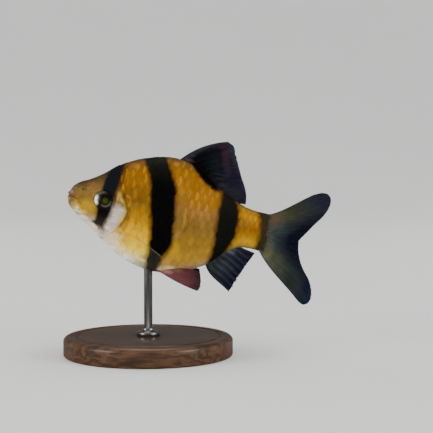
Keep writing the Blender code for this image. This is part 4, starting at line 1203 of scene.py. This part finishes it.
# Stand: a turned walnut base and a brushed steel rod with its flange
standForm = {
    "radius": 22.0,
    "height": 5.0,
    "edge": 1.2,
    "bevel": 0.4,
    "groove": (18.6, 0.35),  # its radius and depth, turned into the top
    "rod": 1.1,
    "flange": 3.0,
    "flangeHeight": 1.2,
    "collar": (1.6, 0.7),  # radius and height above the flange
    "intoBelly": 0.5,
    "segments": 128,
    "wood": ((0.1, (52, 30, 18)), (0.45, (92, 56, 34)), (0.7, (116, 74, 46)), (1.0, (138, 94, 60))),
    "pores": (36, 20, 12),
    "steel": ((0.2, (168, 168, 168)), (0.8, (206, 206, 208))),
}


def turned(profile, segments):  # rings of a profile of (radius, height)
    profile, turn = np.array(profile, float), np.linspace(0, 2 * math.pi, segments, endpoint=False)
    radius = profile[:, :1]
    rings = [radius * np.cos(turn), radius * np.sin(turn), profile[:, 1:] + 0 * turn]
    return np.stack(rings, axis=-1).reshape(-1, 3)


def turnedPiece(name, profile, material, replaced):  # a profile down the outer side, from axis to axis
    segments = standForm["segments"]
    grid = np.concatenate([turned(profile[1:-1], segments), [(0, 0, profile[0][1]), (0, 0, profile[-1][1])]])
    return newPiece(name, grid * mm, tubeFaces(len(profile) - 2, segments), material, (replaced,))


def arc(radius, centreR, centreZ, fromDeg, toDeg, count):
    turns = np.radians(np.linspace(fromDeg, toDeg, count))
    return [(centreR + radius * math.cos(turn), centreZ + radius * math.sin(turn)) for turn in turns]


def woodMaterial():
    material, tree = newMaterial("walnut")
    grown = ownCoordinate(tree).stretched((60.0, 700.0, 700.0), (0, 4, 12))
    rings = (grown.noise(0.25, 3.0, 0.55) * 46.0).maths("SINE")
    grain = grown.noise(2.6, 5.0, 0.7)
    pores = grown.noise(9.0, 2.0, 0.8).fade(0.36, 0.3)
    colour = (pores * 0.7).blend((rings * 0.22 + grain).stops(standForm["wood"]), standForm["pores"])
    inputs = {"Base Color": colour, "Roughness": 0.35, "Coat Weight": 0.35, "Coat Roughness": 0.12}
    return endMaterial(material, inputs, pores * -0.8 + grain, 0.03, 0.5)


def steelMaterial():
    material, tree = newMaterial("brushedSteel")
    coordinate = ownCoordinate(tree)
    streaks = coordinate.stretched((900.0, 900.0, 12000.0)).noise(1.0, 3.0, 0.6)
    gloss = coordinate.noise(420.0, 3.0, 0.6).spread(0.25, 0.75, 0.27, 0.36)
    inputs = {"Base Color": streaks.stops(standForm["steel"]), "Metallic": 1.0, "Roughness": gloss}
    return endMaterial(material, inputs, streaks, 0.01, 0.2)


def buildStand():
    form = standForm
    top, radius, edge, (grooveAt, grooveDeep) = form["height"], form["radius"], form["edge"], form["groove"]
    profile = [(0, top), (2.0, top), (grooveAt - 1.2, top)]
    profile += [(grooveAt + grooveDeep * k / 3, top - grooveDeep * math.sqrt(max(0.0, 1 - (k / 3) ** 2)))
                for k in range(-3, 4)]
    profile += [(radius - edge - 0.1, top), *arc(edge, radius - edge, top - edge, 90, 0, 9)]
    profile += [(radius, form["bevel"]), (radius - form["bevel"], 0.0), (2.0, 0.0), (0, 0.0)]
    turnedPiece("standBase", profile, woodMaterial(), "stand_base")

    rod, flange, (collar, collarHeight) = form["rod"], form["flange"], form["collar"]
    flangeTop, reach = top + form["flangeHeight"], fishForm["bellyHeight"] + form["intoBelly"]
    profile = [(0, reach), (rod * 0.8, reach), (rod, reach - 0.2), (rod, flangeTop + collarHeight + 0.3)]
    profile += arc(0.3, collar - 0.3, flangeTop + collarHeight - 0.05, 90, 0, 4)
    profile += [(collar, flangeTop + 0.05), (flange - 0.4, flangeTop)]
    profile += arc(0.4, flange - 0.4, flangeTop - 0.4, 80, 0, 5)
    profile += [(flange, top + 0.02), (flange - 0.1, top), (0.5, top), (0, top)]
    turnedPiece("standRod", profile, steelMaterial(), "stand_rod")


buildStand()
print("stand turned")

# Studio: a pale round floor that sweeps up into its own wall, soft boxes, and the photograph's view
studio = {
    "flatRadius": 0.7,
    "sweep": 1.1,
    "around": 96,
    "paper": (0.8, 0.8, 0.784, 1.0),
    "inGloss": 0.16,  # how bright the paper and the air look in glossy reflections
    "world": ((0.95, 0.97, 1.0, 1.0), 0.5),
    "boxes": (  # place, size, watts, colour, and whether it is seen in glossy surfaces
        ((-0.72, -0.4, 0.1), 0.45, 7.4, (1.0, 0.99, 0.97), False),
        ((0.78, -0.46, 0.1), 0.5, 8.4, (0.98, 0.99, 1.0), False),
        ((-0.75, 0.45, 0.14), 0.5, 6.0, (1.0, 0.99, 0.97), False),
        ((0.75, 0.45, 0.14), 0.5, 6.0, (1.0, 0.99, 0.97), False),
        ((-0.72, -0.44, 0.2), 0.5, 2.0, (1.0, 1.0, 1.0), True),
        ((0.76, -0.46, 0.2), 0.5, 2.0, (1.0, 1.0, 1.0), True),
        ((0.0, 0.0, 2.2), 1.8, 14.0, (1.0, 1.0, 1.0), True),
    ),
    "lookAt": (17.74, 0.0, 35.97),
    "distance": 311.4,
    "elevation": 3.0,
    "lens": 100.0,
}


def placed(data, place=(0, 0, 0), lookAt=None):
    thing = bpy.data.objects.new(data.name, data)
    thing.location = place
    if lookAt is not None:
        thing.rotation_euler = (lookAt - Vector(place)).to_track_quat("-Z", "Y").to_euler()
    scene.collection.objects.link(thing)
    return thing


def dimmed(tree):  # 1, and less in glossy reflections
    return made(tree, "LightPath", (), "Is Glossy Ray") * (studio["inGloss"] - 1) + 1.0


def buildFloor():
    flat, sweep, around = studio["flatRadius"], studio["sweep"], studio["around"]
    profile = [(0.0001, 0.0), (0.1, 0.0), (0.3, 0.0), (flat, 0.0), *arc(sweep, flat, sweep, -90, 0, 25)[1:]]
    mesh = bpy.data.meshes.new("floor")
    mesh.from_pydata(turned(profile, around).tolist(), [], gridFaces(len(profile), around, True).tolist())
    mesh.shade_smooth()
    material, tree = newMaterial("paperFloor")
    coordinate = ownCoordinate(tree)
    colour = (coordinate.noise(3.0, 3.0).spread(0.0, 1.0, 0.97, 1.03) * dimmed(tree)).shade(studio["paper"])
    inputs = {"Base Color": colour, "Roughness": 0.85, "Specular IOR Level": 0.2}
    mesh.materials.append(endMaterial(material, inputs, coordinate.noise(900.0), 0.05, 0.15))
    floor = placed(mesh)


def buildStudio():
    buildFloor()
    world = bpy.data.worlds.new("studioAir")
    world.use_nodes = True
    air, (colour, strength) = world.node_tree, studio["world"]
    feedAll(air, {"Color": colour, "Strength": dimmed(air) * strength}, air.nodes["Background"].inputs)
    scene.world = world

    aim = Vector(studio["lookAt"]) * mm
    for number, (place, size, watts, colour, shines) in enumerate(studio["boxes"]):
        lamp = bpy.data.lights.new(f"softBox{number + 1}", "AREA")
        lamp.shape, lamp.size, lamp.energy, lamp.color = "DISK", size, watts, colour
        placed(lamp, place, aim).visible_glossy = shines

    view = bpy.data.cameras.new("camera")
    view.lens, view.sensor_width = studio["lens"], 36.0
    view.clip_start, view.clip_end = 0.01, 10.0
    rise = math.radians(studio["elevation"])
    away = Vector((0, -math.cos(rise), math.sin(rise))) * studio["distance"] * mm
    scene.camera = placed(view, aim + away, aim)


buildStudio()
print("studio lit")
